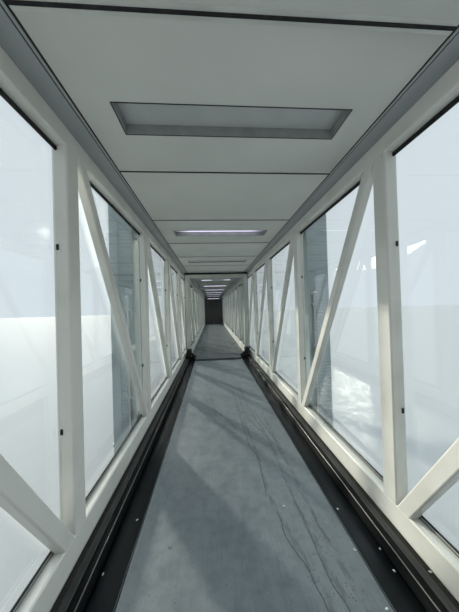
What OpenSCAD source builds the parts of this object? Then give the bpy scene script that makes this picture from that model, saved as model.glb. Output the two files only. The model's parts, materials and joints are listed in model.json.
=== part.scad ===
// Telescoping glass-walled boarding bridge. A fixed inner tunnel stands on a pedestal at the terminal
// side, and a wider outer tunnel on a wheeled drive slides over it along Y.
// Millimetres, +Z up, +Y towards the terminal. The origin is the centre of the pedestal's foot.

/* [Tunnels] */
// Height of the outer tunnel's floor above the ground
floor_h = 4000; // [3600:50:4600]
// Centre distance of the wall posts
bay = 1600; // [1400:20:1800]
// Number of bays in the outer tunnel
outer_bays = 6; // [5:1:8]
// Number of bays in the inner tunnel
inner_bays = 9; // [8:1:11]
// Length by which the outer tunnel covers the inner one at rest
overlap = 2430; // [1800:10:2800]
// Distance from the pedestal's centre to the inner tunnel's terminal end
pedestal_to_end = 1200; // [1000:20:1600]

/* [Walls] */
// Clear half width between the outer tunnel's wall posts
outer_half_w = 950; // [850:5:1100]
// Width of a wall post along the tunnel
post_w = 120; // [80:5:160]
// Width of a diagonal, measured square to it
diag_w = 85; // [60:5:100]
// Depth of posts and diagonals across the wall
post_d = 60; // [40:5:80]
// Depth of the top and bottom chords across the wall
chord_d = 90; // [80:5:180]
// Height of the outer tunnel's glass above its floor, at the lower edge
sill_h = 200; // [160:10:300]
// Height of the inner tunnel's glass above the outer floor, at the lower edge
inner_sill_h = 300; // [260:10:340]
// Thickness of the glass
glass_t = 12; // [8:1:16]
// Height of the dark gaskets along the glass
gasket_h = 28; // [15:1:40]
// Thickness of the gaskets, between the posts and the glass
gasket_t = 8; // [4:1:12]
// Gap between neighbouring panes
pane_gap = 10; // [6:1:20]
// Width of the outside cover strips over the pane joints
cap_w = 80; // [50:5:110]

/* [Ceilings] */
// Height of the outer tunnel's ceiling above its floor
ceiling_h = 2500; // [2300:5:2800]
// Height of the top chord that shows below the ceiling
chord_show = 100; // [60:5:160]
// Height from the ceiling up to the roof's underside
roof_void = 150; // [120:5:200]
// Length of one ceiling panel with its seam
panel_pitch = 1009; // [900:1:1100]
// Width of the dark seam between ceiling panels
seam = 12; // [6:1:20]
// Width of each side of the ceiling beside its panels
side_w = 137; // [100:1:170]
// Width of the light strip beside the ceiling panels
trim_w = 26; // [15:1:40]
// Width of the dark joints beside the light strip
trim_gap = 4; // [2:1:8]
// Distance of a lamp's ends from the edges of its ceiling panel
lamp_edge = 180; // [140:5:300]
// Width of a ceiling lamp along the tunnel
lamp_w = 227; // [150:1:300]

/* [Floors] */
// Width from the outer tunnel's walking floor to each wall
gutter_w = 290; // [270:5:330]
// Width of the roller tracks, each with its gap to the wall
track_w = 124; // [110:1:150]
// Height of the roller tracks above the outer floor
track_h = 60; // [40:5:64]
// Step from the outer floor up to the inner floor
floor_step = 100; // [90:5:120]
// Thickness of the inner tunnel's floor
inner_floor_t = 60; // [40:5:70]

/* [Transition] */
// Gap between the inner tunnel's sides and the outer tunnel's posts
side_gap = 40; // [30:1:60]
// Gap between the portal's top and the outer ceiling
top_gap = 20; // [15:1:40]
// Width of the portal's side columns
portal_w = 120; // [100:5:140]
// Height of the portal's head
head_h = 130; // [100:5:160]
// Depth of the portal and of the end frames along the tunnel
frame_d = 120; // [80:5:160]
// Distance that the ramp's toe stands out before the portal
ramp_out = 250; // [200:10:400]
// Distance of the ramp's hinge behind the portal's front
hinge_in = 150; // [120:5:200]
// Radius of the ramp's hinge pin
pin_r = 8; // [6:0.5:9]

/* [Drive] */
// Distance of the lift columns from the outer tunnel's first post
column_y = 3420; // [3000:20:4000]
// Width of a lift column across the tunnel
column_w = 290; // [240:5:340]
// Depth of a lift column along the tunnel
column_l = 250; // [200:5:300]
// Gap between a lift column and the wall beside it
column_gap = 110; // [30:5:140]
// Radius of the drive wheels
wheel_r = 500; // [400:10:600]
// Width of a drive wheel's tyre
tyre_w = 320; // [240:10:360]

/* [Pedestal] */
// Radius of the pedestal's tube
pedestal_r = 450; // [350:10:500]
// Radius of the pedestal's foot plate
foot_r = 750; // [700:10:900]
// Thickness of the foot plate
foot_t = 40; // [30:1:60]
// Radius of the circle of anchor holes
anchor_circle_r = 660; // [600:5:680]
// Radius of an anchor hole
anchor_r = 18; // [12:1:24]

/* [Hidden] */
$fn = 48;

// Gap between pieces that lie or run on each other
seat = 0.3;
// Overshoot of a cut past the face that it opens
cut = 1;
// Depth by which shapes of one solid run into each other
join = 5;

// Long directions: both tunnels are placed from the pedestal
inner_end_y = pedestal_to_end;
portal_y = inner_end_y - inner_bays * bay;
rear_post_y = portal_y + overlap;
front_post_y = rear_post_y - outer_bays * bay;
outer_len = outer_bays * bay;
inner_len = inner_bays * bay;

// Outer tunnel, heights above its floor
lintel_h = ceiling_h - chord_show;
top_h = ceiling_h + roof_void;
pan_t = 40;
deck_t = 60;
chord_bottom = -deck_t - pan_t;
roof_t = 60;
outer_out = outer_half_w + chord_d;
floor_half_w = outer_half_w - gutter_w;
track_x = outer_half_w - track_w;
track_gap = 5;
panel_half_w = outer_half_w - side_w;
lamp_l = 2 * (panel_half_w - lamp_edge);
glass_x = outer_half_w + post_d + gasket_t;
cover_in = 4;
cover_out = 10;
cover_drop = 14;
board_t = 20;
rail_t = 30;
rail_in = 120;
cap_t = 16;
beam_w = 100;
frame_lap = post_w / 2;
collar_rim = 40;

// Inner tunnel
portal_half_w = outer_half_w - side_gap;
wall_in = 130;
inner_half_w = portal_half_w - wall_in;
inner_chord_d = 110;
inner_post_d = 50;
inner_out = inner_half_w + inner_chord_d;
inner_glass_x = inner_half_w + inner_post_d + gasket_t;
portal_top = ceiling_h - top_gap;
inner_ceiling_h = portal_top - head_h;
base_gap = 20;
inner_base_h = track_h + base_gap;
inner_roof_t = 40;
roof_gap = 10;
inner_top_h = portal_top - inner_roof_t - roof_gap;
inner_chord_h = 200;
inner_lintel_h = inner_top_h - inner_chord_h;
inner_panel_half_w = inner_half_w - side_w;
inner_lamp_l = 2 * (inner_panel_half_w - lamp_edge);
header_h = 230;
door_top = inner_ceiling_h - header_h;
shutter_t = 60;
seal_gap = 8;
seal_t = top_gap - seal_gap;
seal_l = 30;

// Lamps sit in cut-outs of every second ceiling board
inner_ceiling_start = frame_d;
inner_ceiling_stop = inner_len - frame_d;
inner_lamp_skip = 0;
first_board = 15;
outer_ceiling_start = first_board - frame_lap;
outer_ceiling_stop = outer_len + frame_lap;
outer_lamp_skip = 1;
lamp_wall = 6;
lamp_gap = 4;
lamp_h = inner_top_h - inner_ceiling_h - lamp_gap;
diffuser_t = 5;
lamp_room = 9;
diffuser_in = lamp_h - lamp_wall - lamp_room - diffuser_t;

// Ramp and its hinge
ramp_gap = 10;
ramp_half_w = floor_half_w - ramp_gap;
ramp_t = 10;
barrel_wall = 6;
barrel_r = pin_r + barrel_wall;
hinge_y = portal_y + hinge_in;
hinge_h = floor_step - barrel_r;
toe_y = portal_y - ramp_out;
toe_h = 6;
pin_fit = 0.06;
lug_t = 20;
lug_gap = 5;

// Rollers under the portal
roller_r = 60;
roller_w = 60;
housing_w = 150;
housing_l = 150;
housing_h = 240;
housing_wall = 8;
housing_in = 5;
housing_drop = 10;
housing_out = portal_half_w - housing_in;
guide_w = 45;
roller_pin_r = 12;

// Lift columns, legs and wheels
column_x = outer_out + column_gap + column_w / 2;
column_line_y = front_post_y + column_y;
column_rise = 150;
column_top = top_h + roof_t + column_rise;
column_wall = 12;
collar_h = 40;
bracket_h = 200;
beam_h = 120;
cross_h = 300;
column_low = chord_bottom - beam_h - cross_h;
leg_w = 220;
leg_l = 180;
axle_h = 220;
axle_l = 260;
axle_top = wheel_r + axle_h / 2;
leg_in = 400;
stub_r = 60;
wheel_gap = 40;
tyre_wall = 225;
hub_r = wheel_r - tyre_wall;
hub_in = 40;
wheel_x = column_x + column_w / 2 + wheel_gap;

// Pedestal
tube_t = 16;
gusset_t = 20;
gusset_h = 350;
gusset_edge = 20;
anchors = 8;
saddle_l = 400;
head_l = 700;
pedestal_head_h = 290;
saddle_in = 5;
head_gap = 50;
head_bottom = floor_h + floor_step - inner_floor_t - head_gap - pedestal_head_h;

white = [0.86, 0.86, 0.83];
grey = [0.55, 0.57, 0.56];
dark = [0.12, 0.12, 0.13];

// A box given by its low and high corners
module block(lo, hi) {
    translate(lo) cube(hi - lo);
}

// The same box on both sides of the centre line
module both_sides(lo, hi) {
    block(lo, hi);
    block([-hi[0], lo[1], lo[2]], [-lo[0], hi[1], hi[2]]);
}

// A truss wall along +Y on the +X side, from its first post's centre at y = 0.
// Each diagonal falls from the top of a post to the foot of the next one.
module truss(x_in, depth, bar_d, base, low, high, top, bays, first, last) {
    foot = diag_w / sin(atan((high - low) / (bay - post_w - diag_w)));
    end_a = first ? -post_w / 2 : 0;
    end_b = bays * bay + (last ? post_w / 2 : 0);
    block([x_in, end_a, base], [x_in + depth, end_b, low]);
    block([x_in, end_a, high], [x_in + depth, end_b, top]);
    for (i = [(first ? 0 : 1) : bays - (last ? 0 : 1)])
        block([x_in, i * bay - post_w / 2, low], [x_in + bar_d, i * bay + post_w / 2, high]);
    for (i = [0 : bays - 1])
        translate([x_in, i * bay, 0])
            rotate([90, 0, 90])
                linear_extrude(bar_d)
                    polygon([[post_w / 2, high], [post_w / 2 + foot, high],
                        [bay - post_w / 2, low], [bay - post_w / 2 - foot, low]]);
}

// One pane a bay, between pane joints at the posts' centres
module glass_row(x, low, high, bays) {
    for (i = [0 : bays - 1])
        block([x, i * bay + pane_gap / 2, low], [x + glass_t, (i + 1) * bay - pane_gap / 2, high]);
}

module outer_side() {
    translate([0, front_post_y, floor_h]) children();
}

module inner_side() {
    translate([0, portal_y, floor_h]) children();
}

module pedestal() {
    color(grey) difference() {
        union() {
            cylinder(r = foot_r, h = foot_t);
            cylinder(r = pedestal_r, h = head_bottom);
            for (i = [0 : anchors - 1])
                rotate([0, 0, (i + 0.5) * 360 / anchors])
                    translate([0, gusset_t / 2, 0])
                        rotate([90, 0, 0])
                            linear_extrude(gusset_t)
                                polygon([[pedestal_r - join, foot_t], [foot_r - gusset_edge, foot_t],
                                    [pedestal_r - join, foot_t + gusset_h]]);
        }
        translate([0, 0, foot_t]) cylinder(r = pedestal_r - tube_t, h = head_bottom);
        for (i = [0 : anchors - 1])
            rotate([0, 0, i * 360 / anchors])
                translate([anchor_circle_r, 0, -cut])
                    cylinder(r = anchor_r, h = foot_t + 2 * cut);
    }
}

module pedestal_head() {
    color(grey) {
        block([-inner_out, -head_l / 2, head_bottom],
            [inner_out, head_l / 2, head_bottom + pedestal_head_h]);
        both_sides([inner_half_w + saddle_in, -saddle_l / 2, head_bottom + pedestal_head_h - join],
            [inner_out - saddle_in, saddle_l / 2, floor_h + inner_base_h]);
    }
}

module inner_floor() {
    color([0.45, 0.47, 0.48])
        block([-inner_half_w, hinge_y + barrel_r + lug_gap, floor_h + floor_step - inner_floor_t],
            [inner_half_w, inner_end_y, floor_h + floor_step]);
}

module inner_truss() {
    difference() {
        truss(inner_half_w, inner_chord_d, inner_post_d, inner_base_h, inner_sill_h,
            inner_lintel_h, inner_top_h, inner_bays, false, false);
        block([inner_half_w - cut, -cut, 0], [inner_out + cut, frame_d, top_h]);
        block([inner_half_w - cut, inner_len - frame_d, 0], [inner_out + cut, inner_len + cut, top_h]);
    }
}

module inner_left_truss() {
    color(white) inner_side() mirror([1, 0, 0]) inner_truss();
}

module inner_right_truss() {
    color(white) inner_side() inner_truss();
}

module inner_glass() {
    intersection() {
        glass_row(inner_glass_x, inner_sill_h, inner_lintel_h, inner_bays);
        block([0, frame_d, 0], [inner_out, inner_len - frame_d, top_h]);
    }
}

module inner_left_glass() {
    color([0.6, 0.8, 0.85, 0.4]) inner_side() mirror([1, 0, 0]) inner_glass();
}

module inner_right_glass() {
    color([0.6, 0.8, 0.85, 0.4]) inner_side() inner_glass();
}

// Gasket strips between the posts' outer faces and the glass, on the bottom chords and under the top ones
module gaskets(x, low, high, start, stop) {
    both_sides([x - gasket_t, start, low], [x, stop, low + gasket_h]);
    both_sides([x - gasket_t, start, high - gasket_h], [x, stop, high]);
}

module inner_gaskets() {
    color(dark) inner_side()
        gaskets(inner_glass_x, inner_sill_h, inner_lintel_h, frame_d, inner_len - frame_d);
}

// Cover strips outside the pane joints, from chord to chord
module cover_strips(x, low, high, first, last) {
    for (i = [first : last])
        both_sides([x + glass_t, i * bay - cap_w / 2, low],
            [x + glass_t + cap_t, i * bay + cap_w / 2, high]);
}

module inner_cover_strips() {
    color(white) inner_side()
        cover_strips(inner_glass_x, inner_sill_h, inner_lintel_h, 1, inner_bays - 1);
}

// Ceiling boards of one pitch each, with a lamp cut-out in every second one
module ceiling(half_w, height, start, stop, length, skip) {
    count = ceil((stop - start) / panel_pitch);
    difference() {
        for (i = [0 : count - 1])
            block([-half_w, start + i * panel_pitch + (i == 0 ? 0 : seam / 2), height],
                [half_w, min(stop, start + (i + 1) * panel_pitch - seam / 2), height + board_t]);
        lamp_places(start, stop, skip)
            block([-length / 2 - seat, -lamp_w / 2 - seat, height - cut],
                [length / 2 + seat, lamp_w / 2 + seat, height + board_t + cut]);
    }
}

// Children at the middle of every second whole board, from board number skip on
module lamp_places(start, stop, skip) {
    whole = floor((stop - start) / panel_pitch);
    for (i = [skip : 2 : whole - 1])
        translate([0, start + (i + 0.5) * panel_pitch, 0]) children();
}

// A tray that is open below
module lamp(height, length) {
    difference() {
        block([-length / 2, -lamp_w / 2, height], [length / 2, lamp_w / 2, height + lamp_h]);
        block([-length / 2 + lamp_wall, -lamp_w / 2 + lamp_wall, height - cut],
            [length / 2 - lamp_wall, lamp_w / 2 - lamp_wall, height + lamp_h - lamp_wall]);
    }
}

// The frosted plate deep inside a tray, with room for the tubes above it
module diffuser(height, length) {
    edge = lamp_wall + seat;
    block([-length / 2 + edge, -lamp_w / 2 + edge, height + diffuser_in],
        [length / 2 - edge, lamp_w / 2 - edge, height + diffuser_in + diffuser_t]);
}

// Light strips and dark soffits beside the boards, on the rails that carry them all
module ceiling_edges(half_w, wall_x, height, start, stop) {
    strip = half_w + trim_gap;
    soffit = strip + trim_w + trim_gap;
    both_sides([strip, start, height], [strip + trim_w, stop, height + board_t]);
    both_sides([soffit, start, height], [wall_x, stop, height + board_t]);
    both_sides([half_w - rail_in, start, height + board_t], [wall_x, stop, height + board_t + rail_t]);
}

module inner_ceiling() {
    color(grey) inner_side()
        ceiling(inner_panel_half_w, inner_ceiling_h, inner_ceiling_start, inner_ceiling_stop,
            inner_lamp_l, inner_lamp_skip);
}

module inner_ceiling_edges() {
    color(grey) inner_side()
        ceiling_edges(inner_panel_half_w, inner_half_w, inner_ceiling_h,
            inner_ceiling_start, inner_ceiling_stop);
}

module inner_lamps() {
    color(dark) inner_side()
        lamp_places(inner_ceiling_start, inner_ceiling_stop, inner_lamp_skip)
            lamp(inner_ceiling_h, inner_lamp_l);
}

module inner_diffusers() {
    color("white") inner_side()
        lamp_places(inner_ceiling_start, inner_ceiling_stop, inner_lamp_skip)
            diffuser(inner_ceiling_h, inner_lamp_l);
}

module inner_roof() {
    color(grey) inner_side()
        block([-inner_out, frame_d, inner_top_h],
            [inner_out, inner_len - frame_d, inner_top_h + inner_roof_t]);
}

// A gate-shaped frame: a head that lies on two columns
module gate(half_w, column, low, high, head, depth) {
    both_sides([half_w - column, 0, low], [half_w, depth, high - head - seat]);
    block([-half_w, 0, high - head], [half_w, depth, high]);
}

module portal_frame() {
    color(white) inner_side()
        gate(portal_half_w, portal_w, inner_base_h, portal_top, head_h, frame_d);
}

module portal_seal() {
    color(dark) inner_side() {
        both_sides([portal_half_w, 0, inner_sill_h], [portal_half_w + seal_t, seal_l, portal_top]);
        block([-portal_half_w - seal_t, 0, portal_top],
            [portal_half_w + seal_t, seal_l, portal_top + seal_t]);
    }
}

// Black housings before the portal's feet, each open below over its roller
module roller_housings() {
    out = housing_out;
    in = out - housing_w;
    low = inner_base_h - housing_drop;
    color(dark) inner_side() {
        difference() {
            both_sides([in, -housing_l, low], [out, 0, low + housing_h]);
            both_sides([in + housing_wall, -housing_l + housing_wall, low - cut],
                [out - housing_wall, -housing_wall, low + housing_h - housing_wall]);
        }
        both_sides([in - guide_w, -housing_l / 2, 0], [in - seat, 0, low + housing_h / 2]);
    }
}

// Rollers on the tracks, each with its pin in its housing's sides
module track_rollers() {
    mid = housing_out - housing_w / 2;
    over_track = (track_x + housing_out) / 2;
    pin_l = housing_w - 2 * housing_wall - 2 * seat;
    color("silver") inner_side()
        for (s = [-1, 1])
            translate([0, -housing_l / 2, track_h + seat + roller_r])
                rotate([0, 90, 0]) {
                    translate([0, 0, s * over_track])
                        cylinder(r = roller_r, h = roller_w, center = true);
                    translate([0, 0, s * mid])
                        cylinder(r = roller_pin_r, h = pin_l, center = true);
                }
}

module end_frame() {
    color(white) translate([0, inner_end_y - frame_d, floor_h])
        gate(portal_half_w, wall_in, inner_base_h, portal_top, portal_top - door_top, frame_d);
}

module end_shutter() {
    color(dark) translate([0, inner_end_y - frame_d / 2, floor_h])
        block([-inner_half_w, -shutter_t / 2, floor_step], [inner_half_w, shutter_t / 2, door_top]);
}

// Pin through the ramp's barrel, in a lug at each end that stands on the inner floor's front edge
module ramp_hinge() {
    lug_x = ramp_half_w + lug_gap;
    lug_back = hinge_y + barrel_r + lug_gap;
    color("silver") translate([0, 0, floor_h]) {
        translate([-lug_x - lug_t, hinge_y, hinge_h])
            rotate([0, 90, 0]) cylinder(r = pin_r, h = 2 * (lug_x + lug_t));
        both_sides([lug_x, hinge_y - barrel_r, hinge_h - barrel_r],
            [lug_x + lug_t, lug_back, floor_step]);
    }
}

// Sloping plate from the hinge down to its toe over the outer floor
module transition_ramp() {
    color([0.25, 0.26, 0.27]) translate([-ramp_half_w, 0, floor_h])
        difference() {
            union() {
                rotate([90, 0, 90])
                    linear_extrude(2 * ramp_half_w)
                        polygon([[toe_y, toe_h], [hinge_y, hinge_h + barrel_r - ramp_t],
                            [hinge_y, hinge_h + barrel_r], [toe_y, toe_h + ramp_t]]);
                translate([0, hinge_y, hinge_h])
                    rotate([0, 90, 0]) cylinder(r = barrel_r, h = 2 * ramp_half_w);
            }
            translate([-cut, hinge_y, hinge_h])
                rotate([0, 90, 0]) cylinder(r = pin_r + pin_fit, h = 2 * (ramp_half_w + cut));
        }
}

// Deck between the gutters, on a pan that reaches the bottom chords
module outer_floor() {
    color([0.45, 0.47, 0.48]) outer_side() {
        block([-outer_half_w, -frame_lap, chord_bottom], [outer_half_w, outer_len + frame_lap, -deck_t]);
        block([-floor_half_w, -frame_lap, -deck_t - join], [floor_half_w, outer_len + frame_lap, 0]);
    }
}

module gutter_covers() {
    color(dark) outer_side()
        both_sides([floor_half_w + cover_in, -frame_lap, -deck_t],
            [track_x - cover_out, outer_len + frame_lap, -cover_drop]);
}

module roller_tracks() {
    color([0.36, 0.34, 0.32]) outer_side()
        both_sides([track_x, -frame_lap, -deck_t],
            [outer_half_w - track_gap, outer_len + frame_lap, track_h]);
}

module outer_truss() {
    outer_side()
        truss(outer_half_w, chord_d, post_d, chord_bottom, sill_h, lintel_h, top_h,
            outer_bays, true, true);
}

module outer_left_truss() {
    color(white) mirror([1, 0, 0]) outer_truss();
}

module outer_right_truss() {
    color(white) outer_truss();
}

module outer_left_glass() {
    color([0.6, 0.8, 0.85, 0.4]) outer_side()
        mirror([1, 0, 0]) glass_row(glass_x, sill_h, lintel_h, outer_bays);
}

module outer_right_glass() {
    color([0.6, 0.8, 0.85, 0.4]) outer_side() glass_row(glass_x, sill_h, lintel_h, outer_bays);
}

module outer_gaskets() {
    color(dark) outer_side() gaskets(glass_x, sill_h, lintel_h, 0, outer_len);
}

module outer_cover_strips() {
    color(white) outer_side() cover_strips(glass_x, sill_h, lintel_h, 0, outer_bays);
}

module outer_ceiling() {
    color(grey) outer_side()
        ceiling(panel_half_w, ceiling_h, outer_ceiling_start, outer_ceiling_stop,
            lamp_l, outer_lamp_skip);
}

module outer_ceiling_edges() {
    color(grey) outer_side()
        ceiling_edges(panel_half_w, outer_half_w, ceiling_h, outer_ceiling_start, outer_ceiling_stop);
}

module outer_lamps() {
    color(dark) outer_side()
        lamp_places(outer_ceiling_start, outer_ceiling_stop, outer_lamp_skip) lamp(ceiling_h, lamp_l);
}

module outer_diffusers() {
    color("white") outer_side()
        lamp_places(outer_ceiling_start, outer_ceiling_stop, outer_lamp_skip) diffuser(ceiling_h, lamp_l);
}

module outer_roof_beams() {
    color(grey) outer_side()
        for (i = [0 : outer_bays])
            block([-outer_half_w, i * bay - beam_w / 2, ceiling_h + lamp_h + lamp_gap],
                [outer_half_w, i * bay + beam_w / 2, top_h]);
}

module outer_roof() {
    color(grey) outer_side()
        block([-outer_out, -frame_lap, top_h], [outer_out, outer_len + frame_lap, top_h + roof_t]);
}

// End collar around the outer tunnel's mouth: two posts with a sill and a lintel between them
module end_collar() {
    collar_top = top_h + roof_t + collar_rim;
    bar_half_w = outer_half_w - seat;
    both_sides([outer_half_w, 0, chord_bottom - collar_rim], [outer_out + collar_rim, frame_d, collar_top]);
    block([-bar_half_w, 0, chord_bottom - collar_rim], [bar_half_w, frame_d, chord_bottom]);
    block([-bar_half_w, 0, ceiling_h + board_t], [bar_half_w, frame_d, collar_top]);
}

module front_frame() {
    color(white) translate([0, front_post_y - frame_lap - frame_d, floor_h]) end_collar();
}

module rear_frame() {
    color(white) translate([0, rear_post_y + frame_lap, floor_h]) end_collar();
}

module floor_beams() {
    color(grey) outer_side()
        for (i = [0 : outer_bays])
            block([-outer_out, i * bay - beam_w / 2, chord_bottom - beam_h],
                [outer_out, i * bay + beam_w / 2, chord_bottom]);
}

// Deep beam under the tunnel that joins the two lift columns
module column_beam() {
    color(grey) translate([0, column_line_y, floor_h])
        block([-column_x + column_w / 2, -column_l / 2, column_low],
            [column_x - column_w / 2, column_l / 2, chord_bottom]);
}

// Box columns beside the walls, with brackets to the chords and a guide collar around the legs
module lift_columns() {
    color(grey) translate([0, column_line_y, floor_h])
        for (s = [-1, 1])
            translate([s * column_x, 0, 0])
                difference() {
                    block([-column_w / 2, -column_l / 2, column_low],
                        [column_w / 2, column_l / 2, column_top]);
                    block([-column_w / 2 + column_wall, -column_l / 2 + column_wall, column_low + collar_h],
                        [column_w / 2 - column_wall, column_l / 2 - column_wall, column_top - column_wall]);
                    block([-leg_w / 2 - seat, -leg_l / 2 - seat, column_low - cut],
                        [leg_w / 2 + seat, leg_l / 2 + seat, column_low + collar_h + cut]);
                }
    color(grey) translate([0, column_line_y, floor_h])
        for (z = [chord_bottom, lintel_h])
            both_sides([outer_out, -column_l / 4, z],
                [outer_out + column_gap - seat, column_l / 4, z + bracket_h]);
}

module lift_legs() {
    color("silver") translate([0, column_line_y, 0])
        for (s = [-1, 1])
            translate([s * column_x, 0, 0])
                block([-leg_w / 2, -leg_l / 2, axle_top],
                    [leg_w / 2, leg_l / 2, floor_h + column_low + leg_in]);
}

// Box beam under both legs, with a stub and a wheel hub at each end
module axle_beam() {
    color(grey) translate([0, column_line_y, 0]) {
        block([-column_x - column_w / 2, -axle_l / 2, wheel_r - axle_h / 2],
            [column_x + column_w / 2, axle_l / 2, axle_top]);
        translate([-wheel_x - tyre_w, 0, wheel_r])
            rotate([0, 90, 0]) cylinder(r = stub_r, h = 2 * (wheel_x + tyre_w));
        for (s = [-1, 1])
            translate([s * (wheel_x + tyre_w / 2), 0, wheel_r])
                rotate([0, 90, 0]) cylinder(r = hub_r - seat, h = tyre_w - 2 * hub_in, center = true);
    }
}

module tyres() {
    color(dark) translate([0, column_line_y, wheel_r])
        for (s = [-1, 1])
            translate([s * (wheel_x + tyre_w / 2), 0, 0])
                rotate([0, 90, 0])
                    difference() {
                        cylinder(r = wheel_r, h = tyre_w, center = true);
                        cylinder(r = hub_r, h = tyre_w + 2 * cut, center = true);
                    }
}

pedestal();
pedestal_head();
inner_floor();
inner_left_truss();
inner_right_truss();
inner_left_glass();
inner_right_glass();
inner_gaskets();
inner_cover_strips();
inner_ceiling();
inner_ceiling_edges();
inner_lamps();
inner_diffusers();
inner_roof();
portal_frame();
portal_seal();
roller_housings();
track_rollers();
end_frame();
end_shutter();
ramp_hinge();
transition_ramp();
outer_floor();
gutter_covers();
roller_tracks();
outer_left_truss();
outer_right_truss();
outer_left_glass();
outer_right_glass();
outer_gaskets();
outer_cover_strips();
outer_ceiling();
outer_ceiling_edges();
outer_lamps();
outer_diffusers();
outer_roof_beams();
outer_roof();
front_frame();
rear_frame();
floor_beams();
column_beam();
lift_columns();
lift_legs();
axle_beam();
tyres();
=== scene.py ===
"""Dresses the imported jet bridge: tubes, glazing, lamps, floors, drive and pedestal, then the stage."""

import json
import math
import random

import bmesh
import bpy
from mathutils import Matrix, Vector


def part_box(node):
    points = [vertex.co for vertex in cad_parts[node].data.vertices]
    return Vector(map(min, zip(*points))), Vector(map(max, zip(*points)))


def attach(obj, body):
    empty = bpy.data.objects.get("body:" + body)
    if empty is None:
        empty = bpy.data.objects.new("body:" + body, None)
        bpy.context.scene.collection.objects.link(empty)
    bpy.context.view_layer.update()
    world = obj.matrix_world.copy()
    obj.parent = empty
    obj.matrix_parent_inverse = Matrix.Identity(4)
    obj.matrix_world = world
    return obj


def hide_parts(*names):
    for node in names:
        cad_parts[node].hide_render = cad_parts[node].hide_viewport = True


bl_info = {
    "name": "Jet bridge",
    "version": (1, 0, 0),
    "blender": (4, 5, 0),
    "location": "3D View > Sidebar > Jet bridge",
    "description": "Builds the looks of a telescoping glass-walled jet bridge on its CAD frame",
    "category": "Object",
}

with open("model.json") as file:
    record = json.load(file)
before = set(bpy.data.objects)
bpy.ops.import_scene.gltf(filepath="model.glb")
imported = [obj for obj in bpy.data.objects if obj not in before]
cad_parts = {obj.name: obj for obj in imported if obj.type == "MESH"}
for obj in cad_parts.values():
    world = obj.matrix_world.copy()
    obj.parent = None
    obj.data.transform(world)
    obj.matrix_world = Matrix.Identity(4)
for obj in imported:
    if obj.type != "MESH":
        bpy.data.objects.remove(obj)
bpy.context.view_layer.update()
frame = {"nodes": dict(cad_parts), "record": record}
BODY_OF = {
    node: body
    for body, nodes in frame["record"]["behaviour"]["bodies"].items()
    for node in nodes
}

# Places of the CAD model that the pieces start from, in metres
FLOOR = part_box("outer_floor")[1].z
INNER_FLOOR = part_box("inner_floor")[1].z
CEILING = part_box("outer_ceiling")[0].z
INNER_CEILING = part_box("inner_ceiling")[0].z
BAY = 1.6
FRONT_FACE = -20.55
FRONT_POST = -20.37
REAR_POST = -10.77
REAR_FACE = -10.59
PORTAL = -13.2
INNER_END = 1.2
POST_W = 0.12
POST_IN = 0.95
POST_D = 0.06
CHORD_D = 0.09
INNER_POST_IN = 0.78
INNER_POST_D = 0.05
INNER_CHORD_D = 0.11
BOARD_PITCH = 1.009
OUTER_BOARDS = -20.415
INNER_BOARDS = -13.08
COLUMN_X = 1.295
COLUMN_Y = -16.95
SILL = FLOOR + 0.2
HEAD = FLOOR + 2.4
INNER_SILL = FLOOR + 0.3
INNER_HEAD = FLOOR + 2.23
SEAM = 0.012
SEAM_HEAD = 0.013
SEAM_HANG = 0.005
GUTTER_TOP = 3.986
LAMP_W = 0.227
OUTER_LAMP_L = 1.266
INNER_LAMP_L = 0.926
OUTER_LAMPS = [OUTER_BOARDS + (board + 0.5) * BOARD_PITCH for board in (1, 3, 5, 7)]
INNER_LAMPS = [INNER_BOARDS + (board + 0.5) * BOARD_PITCH for board in range(0, 13, 2)]

# Place of the camera. The marks on the floor are measured from below it
EYE = (-0.1531, -20.2614, 5.4473)
# Width of a diagonal, how far its ends run into the chords, and how far posts and diagonals stand back from
# the chords' faces so that no two faces coincide
DIAGONAL_W = 0.085
DIAGONAL_IN = 0.02
POST_BACK = 0.0003
DIAGONAL_BACK = 0.0006
# Edges sharper than this are rounded, in degrees
SHARP_EDGE = 25

# Body that each tunnel rides on
TUNNEL_BODY = {"outer": "outer_tunnel", "inner": "fixed_tunnel"}


def linear(code):
    """An sRGB hex colour as linear red, green, blue and alpha."""
    parts = [int(code[i : i + 2], 16) / 255 for i in (1, 3, 5)]
    return tuple(c / 12.92 if c <= 0.04045 else ((c + 0.055) / 1.055) ** 2.4 for c in parts) + (1.0,)


def colour_property(label, code, about):
    """A colour that a user may change, with the bridge's own as its default."""
    return bpy.props.FloatVectorProperty(
        name=label, description=about, default=linear(code), size=4, min=0, max=1, subtype="COLOR"
    )


def length_property(label, metres, about):
    """A length that a user may change, in metres."""
    return bpy.props.FloatProperty(
        name=label, description=about, default=metres, min=0, soft_max=10 * metres, unit="LENGTH"
    )


class BridgeColours(bpy.types.PropertyGroup):
    """Main colours of the bridge."""

    white: colour_property("White enamel", "#d3d2cb", "Outer wall tubes, collars, cover strips and rims")
    grey: colour_property("Grey enamel", "#9fa8ab", "Lift columns, beams, roofs and pedestal")
    ceiling: colour_property("Ceiling", "#c6c8c2", "Laminate of the outer tunnel's ceiling boards")
    soffit: colour_property("Soffit", "#949899", "Strips between the ceiling boards and the walls")
    floor: colour_property("Floor", "#5f676b", "Sheet flooring of the outer tunnel")
    track: colour_property("Track", "#2b2a27", "Gritty top of the roller tracks")
    lamp: colour_property("Lamp", "#e9e2ff", "Light of the lit ceiling lamps")


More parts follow.
